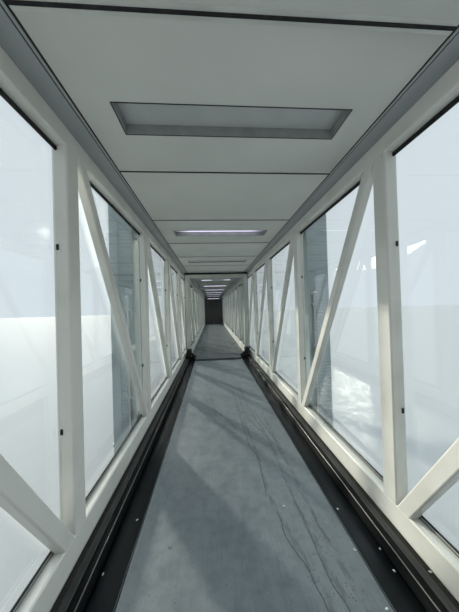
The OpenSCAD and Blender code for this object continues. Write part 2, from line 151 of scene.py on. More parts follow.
class BridgeSizes(bpy.types.PropertyGroup):
    """Sizes of the details that the CAD model leaves plain."""

    tube_round: length_property("Outer tube rounding", 0.012, "Radius of the outer wall tubes' edges")
    inner_round: length_property("Inner tube rounding", 0.010, "Radius of the inner wall tubes' edges")
    frame_round: length_property("Frame rounding", 0.008, "Radius of the edges of frames and beams")
    lip_w: length_property("Board lip", 0.018, "Width of the lips beside the ceiling seams")
    chequer: length_property("Chequer pitch", 0.03, "Distance between the ramp's raised lozenges")
    slat: length_property("Shutter slat", 0.0776, "Height of one slat of the roller shutter")
    roof_seam: length_property("Roof seam pitch", 0.405, "Distance between the roof's standing seams")


def new_finish(name):
    """An empty material with its tree, its shader and its object coordinates."""
    material = bpy.data.materials.new(name)
    material.use_nodes = True
    tree = material.node_tree
    tree.nodes.clear()
    surface = add_node(tree, "ShaderNodeBsdfPrincipled")
    add_node(tree, "ShaderNodeOutputMaterial", {"Surface": surface.outputs["BSDF"]})
    place = add_node(tree, "ShaderNodeTexCoord")
    return material, tree, surface, place.outputs["Object"]


def add_node(tree, kind, inputs=None, **settings):
    """Adds a node with its settings. An input takes a plain value, or the socket that it is linked from."""
    node = tree.nodes.new(kind)
    for key, value in settings.items():
        setattr(node, key, value)
    for key, value in (inputs or {}).items():
        if isinstance(value, bpy.types.NodeSocket):
            tree.links.new(value, node.inputs[key])
        else:
            node.inputs[key].default_value = value
    return node


def patches(tree, place, size, start=0.3, stop=0.7, stretch=(1.0, 1.0, 1.0), detail=4.0, low=0.0, high=1.0):
    """A value from low to high in cloudy patches of about size metres, drawn out along the axes."""
    drawn = add_node(tree, "ShaderNodeMapping", {"Vector": place, "Scale": stretch})
    cloud = add_node(
        tree,
        "ShaderNodeTexNoise",
        {"Vector": drawn.outputs["Vector"], "Scale": 1 / size, "Detail": detail},
    )
    span = add_node(
        tree,
        "ShaderNodeMapRange",
        {"Value": cloud.outputs["Fac"], "From Min": start, "From Max": stop, "To Min": low, "To Max": high},
    )
    return span.outputs["Result"]


def blended(tree, mask, first, second):
    """The first colour where the mask is 0 and the second where it is 1."""
    mix = add_node(tree, "ShaderNodeMix", {0: mask, 6: first, 7: second}, data_type="RGBA")
    return mix.outputs[2]


def raised(tree, surface, height, depth):
    """Gives the surface a relief of that depth in metres."""
    bump = add_node(tree, "ShaderNodeBump", {"Height": height, "Distance": depth})
    tree.links.new(bump.outputs["Normal"], surface.inputs["Normal"])


def weathered(
    name, clean, worn, patch, span, gloss, grain, depth, metallic=0.0, stretch=(1.0, 1.0, 1.0), shine=0.5
):
    """A finish with worn patches, an uneven gloss and a fine grain. Patch, grain and depth are in metres."""
    material, tree, surface, place = new_finish(name)
    area = patches(tree, place, patch, start=span[0], stop=span[1], stretch=stretch)
    tree.links.new(blended(tree, area, clean, worn), surface.inputs["Base Color"])
    tree.links.new(
        patches(tree, place, patch * 0.6, stretch=stretch, detail=3.0, low=gloss[0], high=gloss[1]),
        surface.inputs["Roughness"],
    )
    surface.inputs["Metallic"].default_value = metallic
    surface.inputs["Specular IOR Level"].default_value = shine
    raised(tree, surface, patches(tree, place, grain, stretch=stretch, detail=2.0), depth)
    return material


def white_enamel():
    """Enamel sprayed on rolled steel tube: a satin white with faint orange peel and hand grime."""
    # Grime lies in patches of 0.35 m. The orange peel of 4 mm is drawn coarse enough to show
    white = bpy.context.scene.bridge_colours.white
    return weathered(
        "sprayed_white_enamel", white, linear("#bdbbb1"), patch=0.35, span=(0.5, 0.85), gloss=(0.32, 0.5),
        grain=0.004, depth=0.0001,
    )


def greyer_enamel():
    """Enamel of the inner tunnel's tubes, greyed by age, and of the portal, where the same grey is painted
    shade; with dust in soft patches.
    """
    return weathered(
        "greyer_white_enamel", linear("#b8bab4"), linear("#a0a39e"), patch=0.3, span=(0.4, 0.75),
        gloss=(0.35, 0.5), grain=0.004, depth=0.0001, stretch=(1.0, 1.0, 0.5),
    )


def grey_enamel():
    """Enamel sprayed on structural steel outdoors: chalky grey, dulled in rain streaks down the faces."""
    grey = bpy.context.scene.bridge_colours.grey
    return weathered(
        "sprayed_grey_enamel", grey, linear("#8a9294"), patch=0.25, span=(0.5, 0.8), gloss=(0.4, 0.6),
        grain=0.005, depth=0.0002, stretch=(1.0, 1.0, 0.2),
    )


def black_enamel():
    """Black enamel on pressed steel: deep and satin, with dust in soft patches."""
    return weathered(
        "sprayed_black_enamel", linear("#0e0f10"), linear("#1d1d1c"), patch=0.06, span=(0.5, 0.8),
        gloss=(0.4, 0.6), grain=0.003, depth=0.0001, shine=0.25,
    )


def soffit_enamel():
    """Coil-coated steel strip: a smooth mid grey that is a little uneven from heat."""
    soffit = bpy.context.scene.bridge_colours.soffit
    return weathered(
        "coil_coated_soffit", soffit, linear("#8a8e90"), patch=0.5, span=(0.4, 0.8), gloss=(0.35, 0.5),
        grain=0.003, depth=0.00005,
    )


def ceiling_laminate():
    """Laminate pressed on aluminium board: flat, pale and satin, with a slow waviness over each board."""
    ceiling = bpy.context.scene.bridge_colours.ceiling
    return weathered(
        "pressed_ceiling_laminate", ceiling, linear("#bcbeb8"), patch=0.6, span=(0.4, 0.8),
        gloss=(0.5, 0.62), grain=0.5, depth=0.001, shine=0.3,
    )


def inner_laminate():
    """Laminate of the inner tunnel's boards: flat and greyed by age, with painted shade that darkens it
    towards the doorway.
    """
    material, tree, surface, place = new_finish("dusty_ceiling_laminate")
    parts = add_node(tree, "ShaderNodeSeparateXYZ", {"Vector": place})
    # Painted shade: the colour darkens from the portal towards the doorway
    along = add_node(
        tree, "ShaderNodeMapRange", {"Value": parts.outputs["Y"], "From Min": PORTAL, "From Max": -2.0}
    )
    dusty = blended(tree, along.outputs["Result"], linear("#9a9d99"), linear("#5a5c5b"))
    clouds = patches(tree, place, 0.6, start=0.4, stop=0.8, high=0.3)
    tree.links.new(blended(tree, clouds, dusty, linear("#7b7e7a")), surface.inputs["Base Color"])
    surface.inputs["Roughness"].default_value = 0.7
    surface.inputs["Specular IOR Level"].default_value = 0.0
    return material


def board_lip():
    """Folded lip of the laminated board: the same finish, rubbed paler by the fitting."""
    return weathered(
        "folded_board_lip", linear("#c3c5bf"), linear("#b2b4ae"), patch=0.2, span=(0.4, 0.8),
        gloss=(0.3, 0.4), grain=0.003, depth=0.00005,
    )


def edge_trim():
    """Extruded plastic trim: grey and smooth with a low sheen."""
    return weathered(
        "extruded_edge_trim", linear("#9da19f"), linear("#8f9392"), patch=0.3, span=(0.4, 0.8),
        gloss=(0.35, 0.5), grain=0.002, depth=0.00003,
    )


def tray_enamel():
    """Lamp tray in stoved enamel: a matt blue-grey that is painted shade over its white inside the lamp
    recess, with settled dust.
    """
    # The blue-grey is painted shade: the tray's white enamel as it looks inside the recess
    return weathered(
        "stoved_tray_enamel_painted_shade", linear("#8b8f8c"), linear("#7c807f"), patch=0.08, span=(0.4, 0.8),
        gloss=(0.5, 0.7), grain=0.002, depth=0.00005,
    )


def gasket_rubber():
    """Extruded rubber gasket: near black, dull, greyed by dust."""
    return weathered(
        "extruded_gasket_rubber", linear("#1a1b1c"), linear("#343433"), patch=0.05, span=(0.5, 0.8),
        gloss=(0.55, 0.75), grain=0.001, depth=0.0001, shine=0.3,
    )


def cover_rubber():
    """Smooth black rubber sheet over the gutter: a soft sheen, with dust rubbed along the tunnel."""
    return weathered(
        "smooth_gutter_rubber", linear("#080e11"), linear("#141d21"), patch=0.06, span=(0.55, 0.85),
        gloss=(0.3, 0.5), grain=0.002, depth=0.0001, stretch=(1.0, 0.15, 1.0), shine=0.16,
    )


def track_top():
    """Hot-rolled steel track: brown-black and gritty with trodden dirt."""
    track = bpy.context.scene.bridge_colours.track
    return weathered(
        "hot_rolled_track", track, linear("#3c3c38"), patch=0.02, span=(0.5, 0.78), gloss=(0.65, 0.88),
        grain=0.004, depth=0.0008, stretch=(1.0, 0.4, 1.0), shine=0.15,
    )


def rolled_lane():
    """Lane on the track that the rollers press flat: grey-brown dust with a dull shine."""
    return weathered(
        "rolled_track_lane", linear("#363837"), linear("#464845"), patch=0.03, span=(0.4, 0.7),
        gloss=(0.5, 0.7), grain=0.003, depth=0.0003, stretch=(1.0, 0.15, 1.0), shine=0.2,
    )


def edging():
    """Dark anodised edging beside the sheet floor: a thin satin line that glints in low light."""
    return weathered(
        "anodised_floor_edging", linear("#4d5356"), linear("#6a7073"), patch=0.02, span=(0.5, 0.8),
        gloss=(0.3, 0.45), grain=0.002, depth=0.00005, metallic=0.6, stretch=(1.0, 0.1, 1.0),
    )


def track_side():
    """Painted side of the track: black with scrapes along the tunnel."""
    return weathered(
        "painted_track_side", linear("#0c0e10"), linear("#23272a"), patch=0.03, span=(0.58, 0.8),
        gloss=(0.45, 0.7), grain=0.002, depth=0.0002, stretch=(1.0, 0.08, 1.0), shine=0.15,
    )


def bright_edge():
    """Track nosing worn bright by shoes: bare steel with a drawn grain."""
    return weathered(
        "worn_steel_nosing", linear("#55554f"), linear("#403f3d"), patch=0.02, span=(0.4, 0.8),
        gloss=(0.3, 0.5), grain=0.002, depth=0.0001, metallic=0.2, stretch=(1.0, 0.1, 1.0),
    )


def machined_steel():
    """Turned and ground steel: bright, with fine tool lines and a film of oil."""
    return weathered(
        "machined_steel", linear("#b2b3b3"), linear("#9d9c99"), patch=0.12, span=(0.3, 0.8),
        gloss=(0.3, 0.42), grain=0.01, depth=0.00004, metallic=1.0, stretch=(1.0, 1.0, 0.15),
    )


def zinc_bolt():
    """Zinc-plated fastener: bluish silver that has gone cloudy."""
    return weathered(
        "zinc_plated_fastener", linear("#a9acaa"), linear("#7c7a74"), patch=0.01, span=(0.4, 0.7),
        gloss=(0.3, 0.5), grain=0.001, depth=0.00005, metallic=0.9,
    )


def chequer_plate():
    """Rolled chequer plate, painted floor grey: trodden paler on its raised lozenges."""
    return weathered(
        "painted_chequer_plate", linear("#50565a"), linear("#60666a"), patch=0.05, span=(0.5, 0.75),
        gloss=(0.4, 0.6), grain=0.002, depth=0.0001,
    )


def shutter_enamel():
    """Roll-formed shutter slats in dark enamel: brownish black and satin."""
    return weathered(
        "roll_formed_shutter", linear("#2d2d2a"), linear("#3b3934"), patch=0.2, span=(0.4, 0.8),
        gloss=(0.4, 0.6), grain=0.003, depth=0.0001,
    )


def tyre_rubber():
    """Moulded tyre rubber: dull black, greyed by apron dust on the shoulders."""
    return weathered(
        "moulded_tyre_rubber", linear("#1d1d1d"), linear("#3a3936"), patch=0.08, span=(0.5, 0.8),
        gloss=(0.7, 0.9), grain=0.003, depth=0.0004,
    )


def float_glass():
    """Float glass: clear with a faint green, mirror-like at a low angle."""
    material, tree, surface, _ = new_finish("clear_float_glass")
    surface.inputs["Base Color"].default_value = linear("#f2f6f4")
    surface.inputs["Roughness"].default_value = 0.03
    through = add_node(tree, "ShaderNodeBsdfTransparent", {"Color": linear("#fbfefd")})
    # Both faces of a pane reflect 4 % straight on and nearly all at a grazing angle
    facing = add_node(tree, "ShaderNodeLayerWeight", {"Blend": 0.5})
    grazing = add_node(tree, "ShaderNodeMath", {0: facing.outputs["Facing"], 1: 5.0}, operation="POWER")
    mirror = add_node(
        tree, "ShaderNodeMath", {0: grazing.outputs[0], 1: 0.9, 2: 0.04}, operation="MULTIPLY_ADD"
    )
    mix = add_node(
        tree,
        "ShaderNodeMixShader",
        {0: mirror.outputs[0], 1: through.outputs["BSDF"], 2: surface.outputs["BSDF"]},
    )
    surface.inputs["Metallic"].default_value = 1.0
    output = next(node for node in tree.nodes if node.type == "OUTPUT_MATERIAL")
    tree.links.new(mix.outputs["Shader"], output.inputs["Surface"])
    return material


def trodden(name, floor, pale, grime):
    """Sheet flooring over steel deck, trodden into pale lanes, with streaks along the tunnel and specks."""
    material, tree, surface, place = new_finish(name)
    # Trodden lanes are about 0.25 m wide and run along the tunnel
    lanes = patches(tree, place, 0.25, start=0.3, stop=0.75, stretch=(1.0, 0.15, 1.0), high=0.7)
    body = blended(tree, lanes, floor, pale)
    # Streaks 12 mm wide, drawn out by shoes and trolley wheels
    streaks = patches(
        tree, place, 0.012, start=0.5, stop=0.75, stretch=(1.0, 0.06, 1.0), detail=3.0, high=0.45
    )
    streaked = blended(tree, streaks, body, grime)
    # Specks of 3 mm are drawn at 9 mm so that they show
    specks = patches(tree, place, 0.009, start=0.58, stop=0.7, detail=2.0, high=0.5)
    speckled = blended(tree, specks, streaked, linear("#4b5155"))
    # Grime in blots of 0.07 m
    blots = patches(tree, place, 0.07, start=0.42, stop=0.72, detail=9.0, high=0.6)
    tree.links.new(blended(tree, blots, speckled, grime), surface.inputs["Base Color"])
    tree.links.new(patches(tree, place, 0.15, low=0.38, high=0.62), surface.inputs["Roughness"])
    # The cross grain has lines 8 mm apart, worn away in places
    raised(tree, surface, patches(tree, place, 0.03, stretch=(1.0, 4.0, 1.0), detail=3.0), 0.0001)
    return material


def sheet_floor():
    """Sheet flooring of the outer tunnel: blue-grey, paler where it is trodden."""
    floor = bpy.context.scene.bridge_colours.floor
    return trodden("trodden_sheet_floor", floor, linear("#6b7376"), linear("#4c5458"))


def inner_sheet_floor():
    """Sheet flooring of the inner tunnel: the same sheet, darker and greyer."""
    return trodden("darker_inner_sheet_floor", linear("#434b4b"), linear("#4d5555"), linear("#394142"))


def floor_mark():
    """Ripple in the sheet flooring where the dirt has settled: a dark dull line."""
    return weathered(
        "settled_dirt_line", linear("#373d41"), linear("#444b4f"), patch=0.05, span=(0.4, 0.7),
        gloss=(0.55, 0.75), grain=0.002, depth=0.0001,
    )


def floor_streak():
    """Streak that trolley wheels have ground into the sheet flooring: darker, and broken into patches."""
    return weathered(
        "ground_in_streak", linear("#4b5357"), linear("#5f686c"), patch=0.025, span=(0.42, 0.62),
        gloss=(0.45, 0.65), grain=0.003, depth=0.0001, stretch=(1.0, 0.3, 1.0),
    )


def floor_fleck():
    """Dried fleck of plaster on the floor: chalk white and rough."""
    return weathered(
        "dried_plaster_fleck", linear("#cfd2d2"), linear("#a9acab"), patch=0.006, span=(0.4, 0.7),
        gloss=(0.7, 0.9), grain=0.002, depth=0.0004,
    )


# Grain of the frosting and its depth, and how far the glow bands reach from the plate's middle, in metres
FROST = 0.003
FROST_DEPTH = 0.0001
GLOW_REACH = 0.64


def frosted(name, power, bands):
    """Frosted acrylic over lamps. Bands are (place, share of light), and places run from 0 to 1."""
    material, tree, surface, place = new_finish(name)
    surface.inputs["Base Color"].default_value = linear("#c9cfce")
    surface.inputs["Roughness"].default_value = 0.45
    parts = add_node(tree, "ShaderNodeSeparateXYZ", {"Vector": place})
    ramp = add_node(tree, "ShaderNodeValToRGB")
    shift = add_node(
        tree, "ShaderNodeMapRange",
        {"Value": parts.outputs["X"], "From Min": -GLOW_REACH, "From Max": GLOW_REACH},
    )
    tree.links.new(shift.outputs["Result"], ramp.inputs["Fac"])
    points = ramp.color_ramp.elements
    while len(points) < len(bands):
        points.new(0.5)
    for point, (spot, share) in zip(points, bands):
        point.position = spot
        point.color = (share, share, share, 1.0)
    glow = bpy.context.scene.bridge_colours.lamp
    light = add_node(
        tree, "ShaderNodeMix", {0: 1.0, 6: ramp.outputs["Color"], 7: glow},
        data_type="RGBA", blend_type="MULTIPLY",
    )
    tree.links.new(light.outputs[2], surface.inputs["Emission Color"])
    surface.inputs["Emission Strength"].default_value = power
    raised(tree, surface, patches(tree, place, FROST, detail=1.0), FROST_DEPTH)
    return material


def frosted_off():
    """Frosted acrylic, unlit: a milky grey sheet with a soft sheen."""
    material, tree, surface, place = new_finish("frosted_acrylic_unlit")
    tree.links.new(
        blended(tree, patches(tree, place, 0.15, start=0.3, stop=0.8), linear("#b6bab8"), linear("#aaafae")),
        surface.inputs["Base Color"],
    )
    surface.inputs["Roughness"].default_value = 0.4
    raised(tree, surface, patches(tree, place, FROST, detail=1.0), FROST_DEPTH)
    return material


def frosted_lit():
    """Frosted acrylic over lit tubes: bright lilac white that fades at the ends."""
    return frosted("frosted_acrylic_lit", 1.25, [(0.03, 0.1), (0.16, 1.0), (0.84, 1.0), (0.97, 0.1)])


def frosted_dim():
    """Frosted acrylic over dimmed tubes: a soft bar, brighter than the ceiling."""
    return frosted("frosted_acrylic_dimmed", 1.3, [(0.13, 0.3), (0.2, 1.0), (0.8, 1.0), (0.87, 0.3)])


def frosted_bright():
    """Frosted acrylic bowl whose tubes light it from end to end: an even white bar."""
    return frosted("frosted_acrylic_bright", 0.9, [(0.02, 0.8), (0.2, 1.0), (0.8, 1.0), (0.98, 0.8)])


def frosted_ends():
    """Frosted acrylic whose tubes glow only near their ends."""
    return frosted(
        "frosted_acrylic_ends", 1.0,
        [(0.14, 0.9), (0.36, 0.9), (0.42, 0.05), (0.66, 0.05), (0.72, 0.8), (0.86, 0.8)],
    )


MAKERS = {
    maker.__name__: maker
    for maker in (
        white_enamel, greyer_enamel, grey_enamel, black_enamel, soffit_enamel, ceiling_laminate,
        inner_laminate, board_lip, edge_trim, tray_enamel, gasket_rubber, cover_rubber, track_top,
        rolled_lane, track_side, bright_edge, edging, machined_steel, zinc_bolt, chequer_plate,
        shutter_enamel, tyre_rubber, float_glass, sheet_floor, inner_sheet_floor, floor_mark, floor_streak,
        floor_fleck, frosted_off, frosted_lit, frosted_dim, frosted_bright, frosted_ends,
    )
}
MADE = {}


def finish(name):
    """The material of that finish, made once."""
    if name not in MADE:
        MADE[name] = MAKERS[name]()
    return MADE[name]


def dress(node, name):
    """Gives a CAD node that stays visible its finish."""
    mesh = frame["nodes"][node].data
    mesh.materials.clear()
    mesh.materials.append(finish(name))


def piece_of(mesh, name, body, finishes, replaced=()):
    """A piece at the origin that rides on a body and stands for the replaced CAD nodes."""
    piece = bpy.data.objects.new(name, mesh)
    bpy.context.scene.collection.objects.link(piece)
    if mesh.materials:
        mesh.materials.clear()
    for each in finishes:
        mesh.materials.append(finish(each))
    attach(piece, body)
    if replaced:
        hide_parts(*replaced)
    return piece


def mesh_of(shape, name):
    """The bmesh as a mesh with its faces turned outwards."""
    bmesh.ops.recalc_face_normals(shape, faces=shape.faces)
    mesh = bpy.data.meshes.new(name)
    shape.to_mesh(mesh)
    shape.free()
    return mesh


def merged_copy(node):
    """The CAD node's solids as a merged bmesh, without the lines inside its flat faces."""
    shape = bmesh.new()
    shape.from_mesh(frame["nodes"][node].data)
    bmesh.ops.remove_doubles(shape, verts=shape.verts, dist=1e-5)
    bmesh.ops.dissolve_limit(shape, angle_limit=math.radians(1), verts=shape.verts, edges=shape.edges)
    return shape


def rounded(shape, name, body, finish_name, radius, segments=3, replaced=()):
    """A piece with every sharp edge rounded to the radius, and flat faces left flat."""
    mesh = mesh_of(shape, name)
    mesh.shade_smooth()
    piece = piece_of(mesh, name, body, [finish_name], replaced)
    bevel = piece.modifiers.new("rounded edges", "BEVEL")
    bevel.width = radius
    bevel.segments = segments
    bevel.limit_method = "ANGLE"
    bevel.angle_limit = math.radians(SHARP_EDGE)
    bevel.harden_normals = True
    return piece


def rounded_node(node, finish_name, radius, segments=3):
    """The CAD node with rounded edges, in place of the plain one."""
    name = node + "_rounded"
    return rounded(merged_copy(node), name, BODY_OF[node], finish_name, radius, segments, (node,))


def joined_faces(shape, first, second):
    """Adds the faces between two loops of vertices to the bmesh, and returns them."""
    faces = []
    for i in range(len(first)):
        j = (i + 1) % len(first)
        faces.append(shape.faces.new((first[i], first[j], second[j], second[i])))
    return faces


def merge(shape, other):
    """Adds the other bmesh to the shape and frees it."""
    mesh = bpy.data.meshes.new("merged")
    other.to_mesh(mesh)
    other.free()
    shape.from_mesh(mesh)
    bpy.data.meshes.remove(mesh)


def add_bar(shape, low, high, mirrored=False):
    """Adds a box between two corners to the bmesh, and its mirror image across the tunnel where asked."""
    for side in (1, -1) if mirrored else (1,):
        centre = Vector((side * (low[0] + high[0]) / 2, (low[1] + high[1]) / 2, (low[2] + high[2]) / 2))
        size = Vector((high[0] - low[0], high[1] - low[1], high[2] - low[2], 1.0))
        bmesh.ops.create_cube(shape, size=1, matrix=Matrix.Translation(centre) @ Matrix.Diagonal(size))


def bars(name, body, finish_name, radius, boxes, mirrored=False, segments=2, replaced=()):
    """Rounded bars, each given by its low and high corners."""
    shape = bmesh.new()
    for low, high in boxes:
        add_bar(shape, low, high, mirrored)
    return rounded(shape, name, body, finish_name, radius, segments, replaced)


def wall(node, x_in, chord_d, bar_d, sill, head, posts, bays, radius):
    """A side wall of rounded tubes that run into each other, in place of the plain node."""
    low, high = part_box(node)
    boxes = [
        ((x_in, low.y, low.z), (x_in + chord_d, high.y, sill)),
        ((x_in, low.y, head), (x_in + chord_d, high.y, high.z)),
    ]
    for y in posts:
        boxes.append(
            ((x_in + POST_BACK, y - POST_W / 2, sill - radius), (x_in + bar_d, y + POST_W / 2, head + radius))
        )
    shape = bmesh.new()
    for corners in boxes:
        add_bar(shape, *corners)
    # A diagonal falls from the top of one post to the foot of the next one
    foot = DIAGONAL_W / math.sin(math.atan((head - sill) / (BAY - POST_W - DIAGONAL_W)))
    fall = Vector((0.0, BAY - POST_W - foot, sill - head)).normalized() * DIAGONAL_IN
    for first in bays:
        top = Vector((0.0, first + POST_W / 2, head)) - fall
        toe = Vector((0.0, first + BAY - POST_W / 2 - foot, sill)) + fall
        outline = [top, top + Vector((0.0, foot, 0.0)), toe + Vector((0.0, foot, 0.0)), toe]
        ends = [
            [shape.verts.new((x, max(min(spot.y, high.y), low.y), spot.z)) for spot in outline]
            for x in (x_in + DIAGONAL_BACK, x_in + bar_d - DIAGONAL_BACK)
        ]
        for end in ends:
            shape.faces.new(end)
        joined_faces(shape, *ends)
    if "left" in node:
        for vert in shape.verts:
            vert.co.x = -vert.co.x
    enamel = "greyer_enamel" if "inner" in node else "white_enamel"
    return rounded(shape, node + "_rounded", BODY_OF[node], enamel, radius, 3, (node,))


def ribbons(name, body, finish_name, paths, half_w, height):
    """Thin strips that lie on the floor along smooth paths of (x, y), narrowing to their ends."""
    steps = 8
    shape = bmesh.new()
    for path in paths:
        spots = [Vector(spot) for spot in path]
        line = []
        for i in range(len(spots) - 1):
            before = spots[max(i - 1, 0)]
            after = spots[min(i + 2, len(spots) - 1)]
            for k in range(steps):
                t = k / steps
                line.append(
                    0.5 * (2 * spots[i] + (spots[i + 1] - before) * t
                           + (2 * before - 5 * spots[i] + 4 * spots[i + 1] - after) * t * t
                           + (3 * spots[i] - before - 3 * spots[i + 1] + after) * t ** 3)
                )
        line.append(spots[-1])
        rows = []
        for i, spot in enumerate(line):
            ahead = (line[min(i + 1, len(line) - 1)] - line[max(i - 1, 0)]).normalized()
            waver = 0.78 + 0.22 * math.sin(2.1 * i)
            taper = min(1.0, 0.3 + i / 6, 0.3 + (len(line) - 1 - i) / 6)
            aside = Vector((-ahead.y, ahead.x)) * (half_w * waver * taper)
            rows.append([shape.verts.new((*edge, height)) for edge in (spot + aside, spot - aside)])
        for a, b in zip(rows, rows[1:]):
            shape.faces.new((a[0], a[1], b[1], b[0]))
    for face in shape.faces:
        face.normal_update()
        if face.normal.z < 0:
            face.normal_flip()
    mesh = bpy.data.meshes.new(name)
    shape.to_mesh(mesh)
    shape.free()
    return piece_of(mesh, name, body, [finish_name])


def add_frame(shape, x, y, half_x, half_y, width, low, high):
    """Adds a flat mitred frame around an opening in the ceiling to the bmesh."""
    rings = []
    for grow, height in ((0, low), (width, low), (width, high), (0, high)):
        corners = ((-1, -1), (1, -1), (1, 1), (-1, 1))
        rings.append(
            [shape.verts.new((x + i * (half_x + grow), y + j * (half_y + grow), height)) for i, j in corners]
        )
    for ring, after in zip(rings, rings[1:] + rings[:1]):
        joined_faces(shape, ring, after)


def profiled(name, body, finishes, profile, start, stop, mirrored=True, replaced=()):
    """A profile of (x, z, finish number of the side after it) drawn along the tunnel from start to stop."""
    shape = bmesh.new()
    for side in (1, -1) if mirrored else (1,):
        ends = [[shape.verts.new((side * x, y, z)) for x, z, _ in profile] for y in (start, stop)]
        for face, (_, _, number) in zip(joined_faces(shape, *ends), profile):
            face.material_index = number
        for end in ends:
            shape.faces.new(end)
    mesh = mesh_of(shape, name)
    return piece_of(mesh, name, body, finishes, replaced)


def turned(profile, steps=48):
    """A bmesh turned about the x axis from a closed profile of (x, radius)."""
    shape = bmesh.new()
    rings = []
    for x, radius in profile:
        if radius < 1e-6:
            rings.append([shape.verts.new((x, 0, 0))] * steps)
            continue
        angles = [2 * math.pi * k / steps for k in range(steps)]
        rings.append([shape.verts.new((x, radius * math.cos(a), radius * math.sin(a))) for a in angles])
    for i in range(len(profile) - 1):
        for k in range(steps):
            n = (k + 1) % steps
            corners = [rings[i][k], rings[i][n], rings[i + 1][n], rings[i + 1][k]]
            unique = list(dict.fromkeys(corners))
            if len(unique) > 2:
                shape.faces.new(unique)
    return shape


def set_down(shape, places):
    """Copies the bmesh to each place of (x, y, z, mirrored) in a new one."""
    joined = bmesh.new()
    mesh = bpy.data.meshes.new("copy")
    shape.to_mesh(mesh)
    shape.free()
    for x, y, z, flipped in places:
        before = len(joined.verts)
        joined.from_mesh(mesh)
        joined.verts.ensure_lookup_table()
        for vert in joined.verts[before:]:
            vert.co.x = x + (-vert.co.x if flipped else vert.co.x)
            vert.co.y += y
            vert.co.z += z
    bpy.data.meshes.remove(mesh)
    return joined


def both_sides(x, y, z, mirrored=False):
    """Places for a shape on both sides of the tunnel, mirrored on the left one where asked."""
    return [(side * x, y, z, mirrored and side < 0) for side in (-1, 1)]


def smooth_piece(shape, name, body, finish_name, angle=35, replaced=()):
    """A piece with smooth curves and sharp edges above the angle."""
    mesh = mesh_of(shape, name)
    mesh.shade_smooth()
    mesh.set_sharp_from_angle(angle=math.radians(angle))
    return piece_of(mesh, name, body, [finish_name], replaced)


def row_tree():
    """Geometry Nodes that set a unit shape at each point, and again in a row of steps from there."""
    tree = bpy.data.node_groups.new("rows of a shape", "GeometryNodeTree")
    sockets = (
        ("Points", "INPUT", "NodeSocketGeometry"),
        ("Unit", "INPUT", "NodeSocketObject"),
        ("Step", "INPUT", "NodeSocketVector"),
        ("Count", "INPUT", "NodeSocketInt"),
        ("Finish", "INPUT", "NodeSocketMaterial"),
        ("Pieces", "OUTPUT", "NodeSocketGeometry"),
    )
    for label, way, kind in sockets:
        tree.interface.new_socket(label, in_out=way, socket_type=kind)
    given = add_node(tree, "NodeGroupInput").outputs
    line = add_node(tree, "GeometryNodeMeshLine", {"Count": given["Count"], "Offset": given["Step"]})
    rows = add_node(
        tree, "GeometryNodeInstanceOnPoints", {"Points": given["Points"], "Instance": line.outputs["Mesh"]}
    )
    spots = add_node(tree, "GeometryNodeRealizeInstances", {"Geometry": rows.outputs["Instances"]})
    unit = add_node(tree, "GeometryNodeObjectInfo", {"Object": given["Unit"]})
    turn = add_node(tree, "GeometryNodeInputNamedAttribute", {"Name": "turn"}, data_type="FLOAT_VECTOR")
    spin = add_node(tree, "FunctionNodeEulerToRotation", {"Euler": turn.outputs["Attribute"]})
    copies = add_node(
        tree,
        "GeometryNodeInstanceOnPoints",
        {
            "Points": spots.outputs["Geometry"],
            "Instance": unit.outputs["Geometry"],
            "Rotation": spin.outputs["Rotation"],
        },
    )
    real = add_node(tree, "GeometryNodeRealizeInstances", {"Geometry": copies.outputs["Instances"]})
    painted = add_node(
        tree, "GeometryNodeSetMaterial", {"Geometry": real.outputs["Geometry"], "Material": given["Finish"]}
    )
    add_node(tree, "NodeGroupOutput", {"Pieces": painted.outputs["Geometry"]})
    return tree


def repeated(
    name, body, finish_name, unit, places, turns=None, step=(0.0, 0.0, 0.0), count=1, angle=35, replaced=()
):
    """The unit bmesh set at each place, turned there, and repeated by the step, as one plain mesh."""
    points = bpy.data.meshes.new(name + "_points")
    points.from_pydata([tuple(place) for place in places], [], [])
    turn = points.attributes.new("turn", "FLOAT_VECTOR", "POINT")
    given = turns or [(0.0, 0.0, 0.0)] * len(places)
    turn.data.foreach_set("vector", [value for each in given for value in each])
    holder = bpy.data.objects.new(name + "_points", points)
    shape = bpy.data.objects.new(name + "_unit", mesh_of(unit, name + "_unit"))
    for each in (holder, shape):
        bpy.context.scene.collection.objects.link(each)
    tree = bpy.data.node_groups.get("rows of a shape") or row_tree()
    rows = holder.modifiers.new("rows", "NODES")
    rows.node_group = tree
    values = {"Unit": shape, "Step": Vector(step), "Count": count, "Finish": finish(finish_name)}
    for item in tree.interface.items_tree:
        if item.in_out == "INPUT" and item.name in values:
            rows[item.identifier] = values[item.name]
    graph = bpy.context.evaluated_depsgraph_get()
    mesh = bpy.data.meshes.new_from_object(holder.evaluated_get(graph), depsgraph=graph)
    mesh.name = name
    if not len(mesh.polygons):
        raise RuntimeError(f"{name} has no faces")
    holder.modifiers.remove(rows)
    for each in (holder, shape):
        bpy.data.objects.remove(each)
    mesh.shade_smooth()
    mesh.set_sharp_from_angle(angle=math.radians(angle))
    return piece_of(mesh, name, body, [finish_name], replaced)


def block_unit(x, y, z, edge):
    """A small block with cut edges, around the origin."""
    shape = bmesh.new()
    bmesh.ops.create_cube(shape, size=1, matrix=Matrix.Diagonal((x, y, z, 1.0)))
    bmesh.ops.bevel(shape, geom=shape.edges[:], offset=edge, segments=1, affect="EDGES")
    return shape


def bolt_unit(across, washer=1.35):
    """A hex head on its washer, standing along +x from the origin."""
    half = across / math.sqrt(3)
    seat = 0.12 * across
    shoulder = 0.62 * across
    top = 0.74 * across
    shape = turned([(0, 0), (0, half * washer), (seat, half * washer), (seat, 0)], 12)
    head = turned([(seat, 0), (seat, half), (shoulder, half), (top, half * 0.82), (top, 0)], 6)
    merge(shape, head)
    return shape


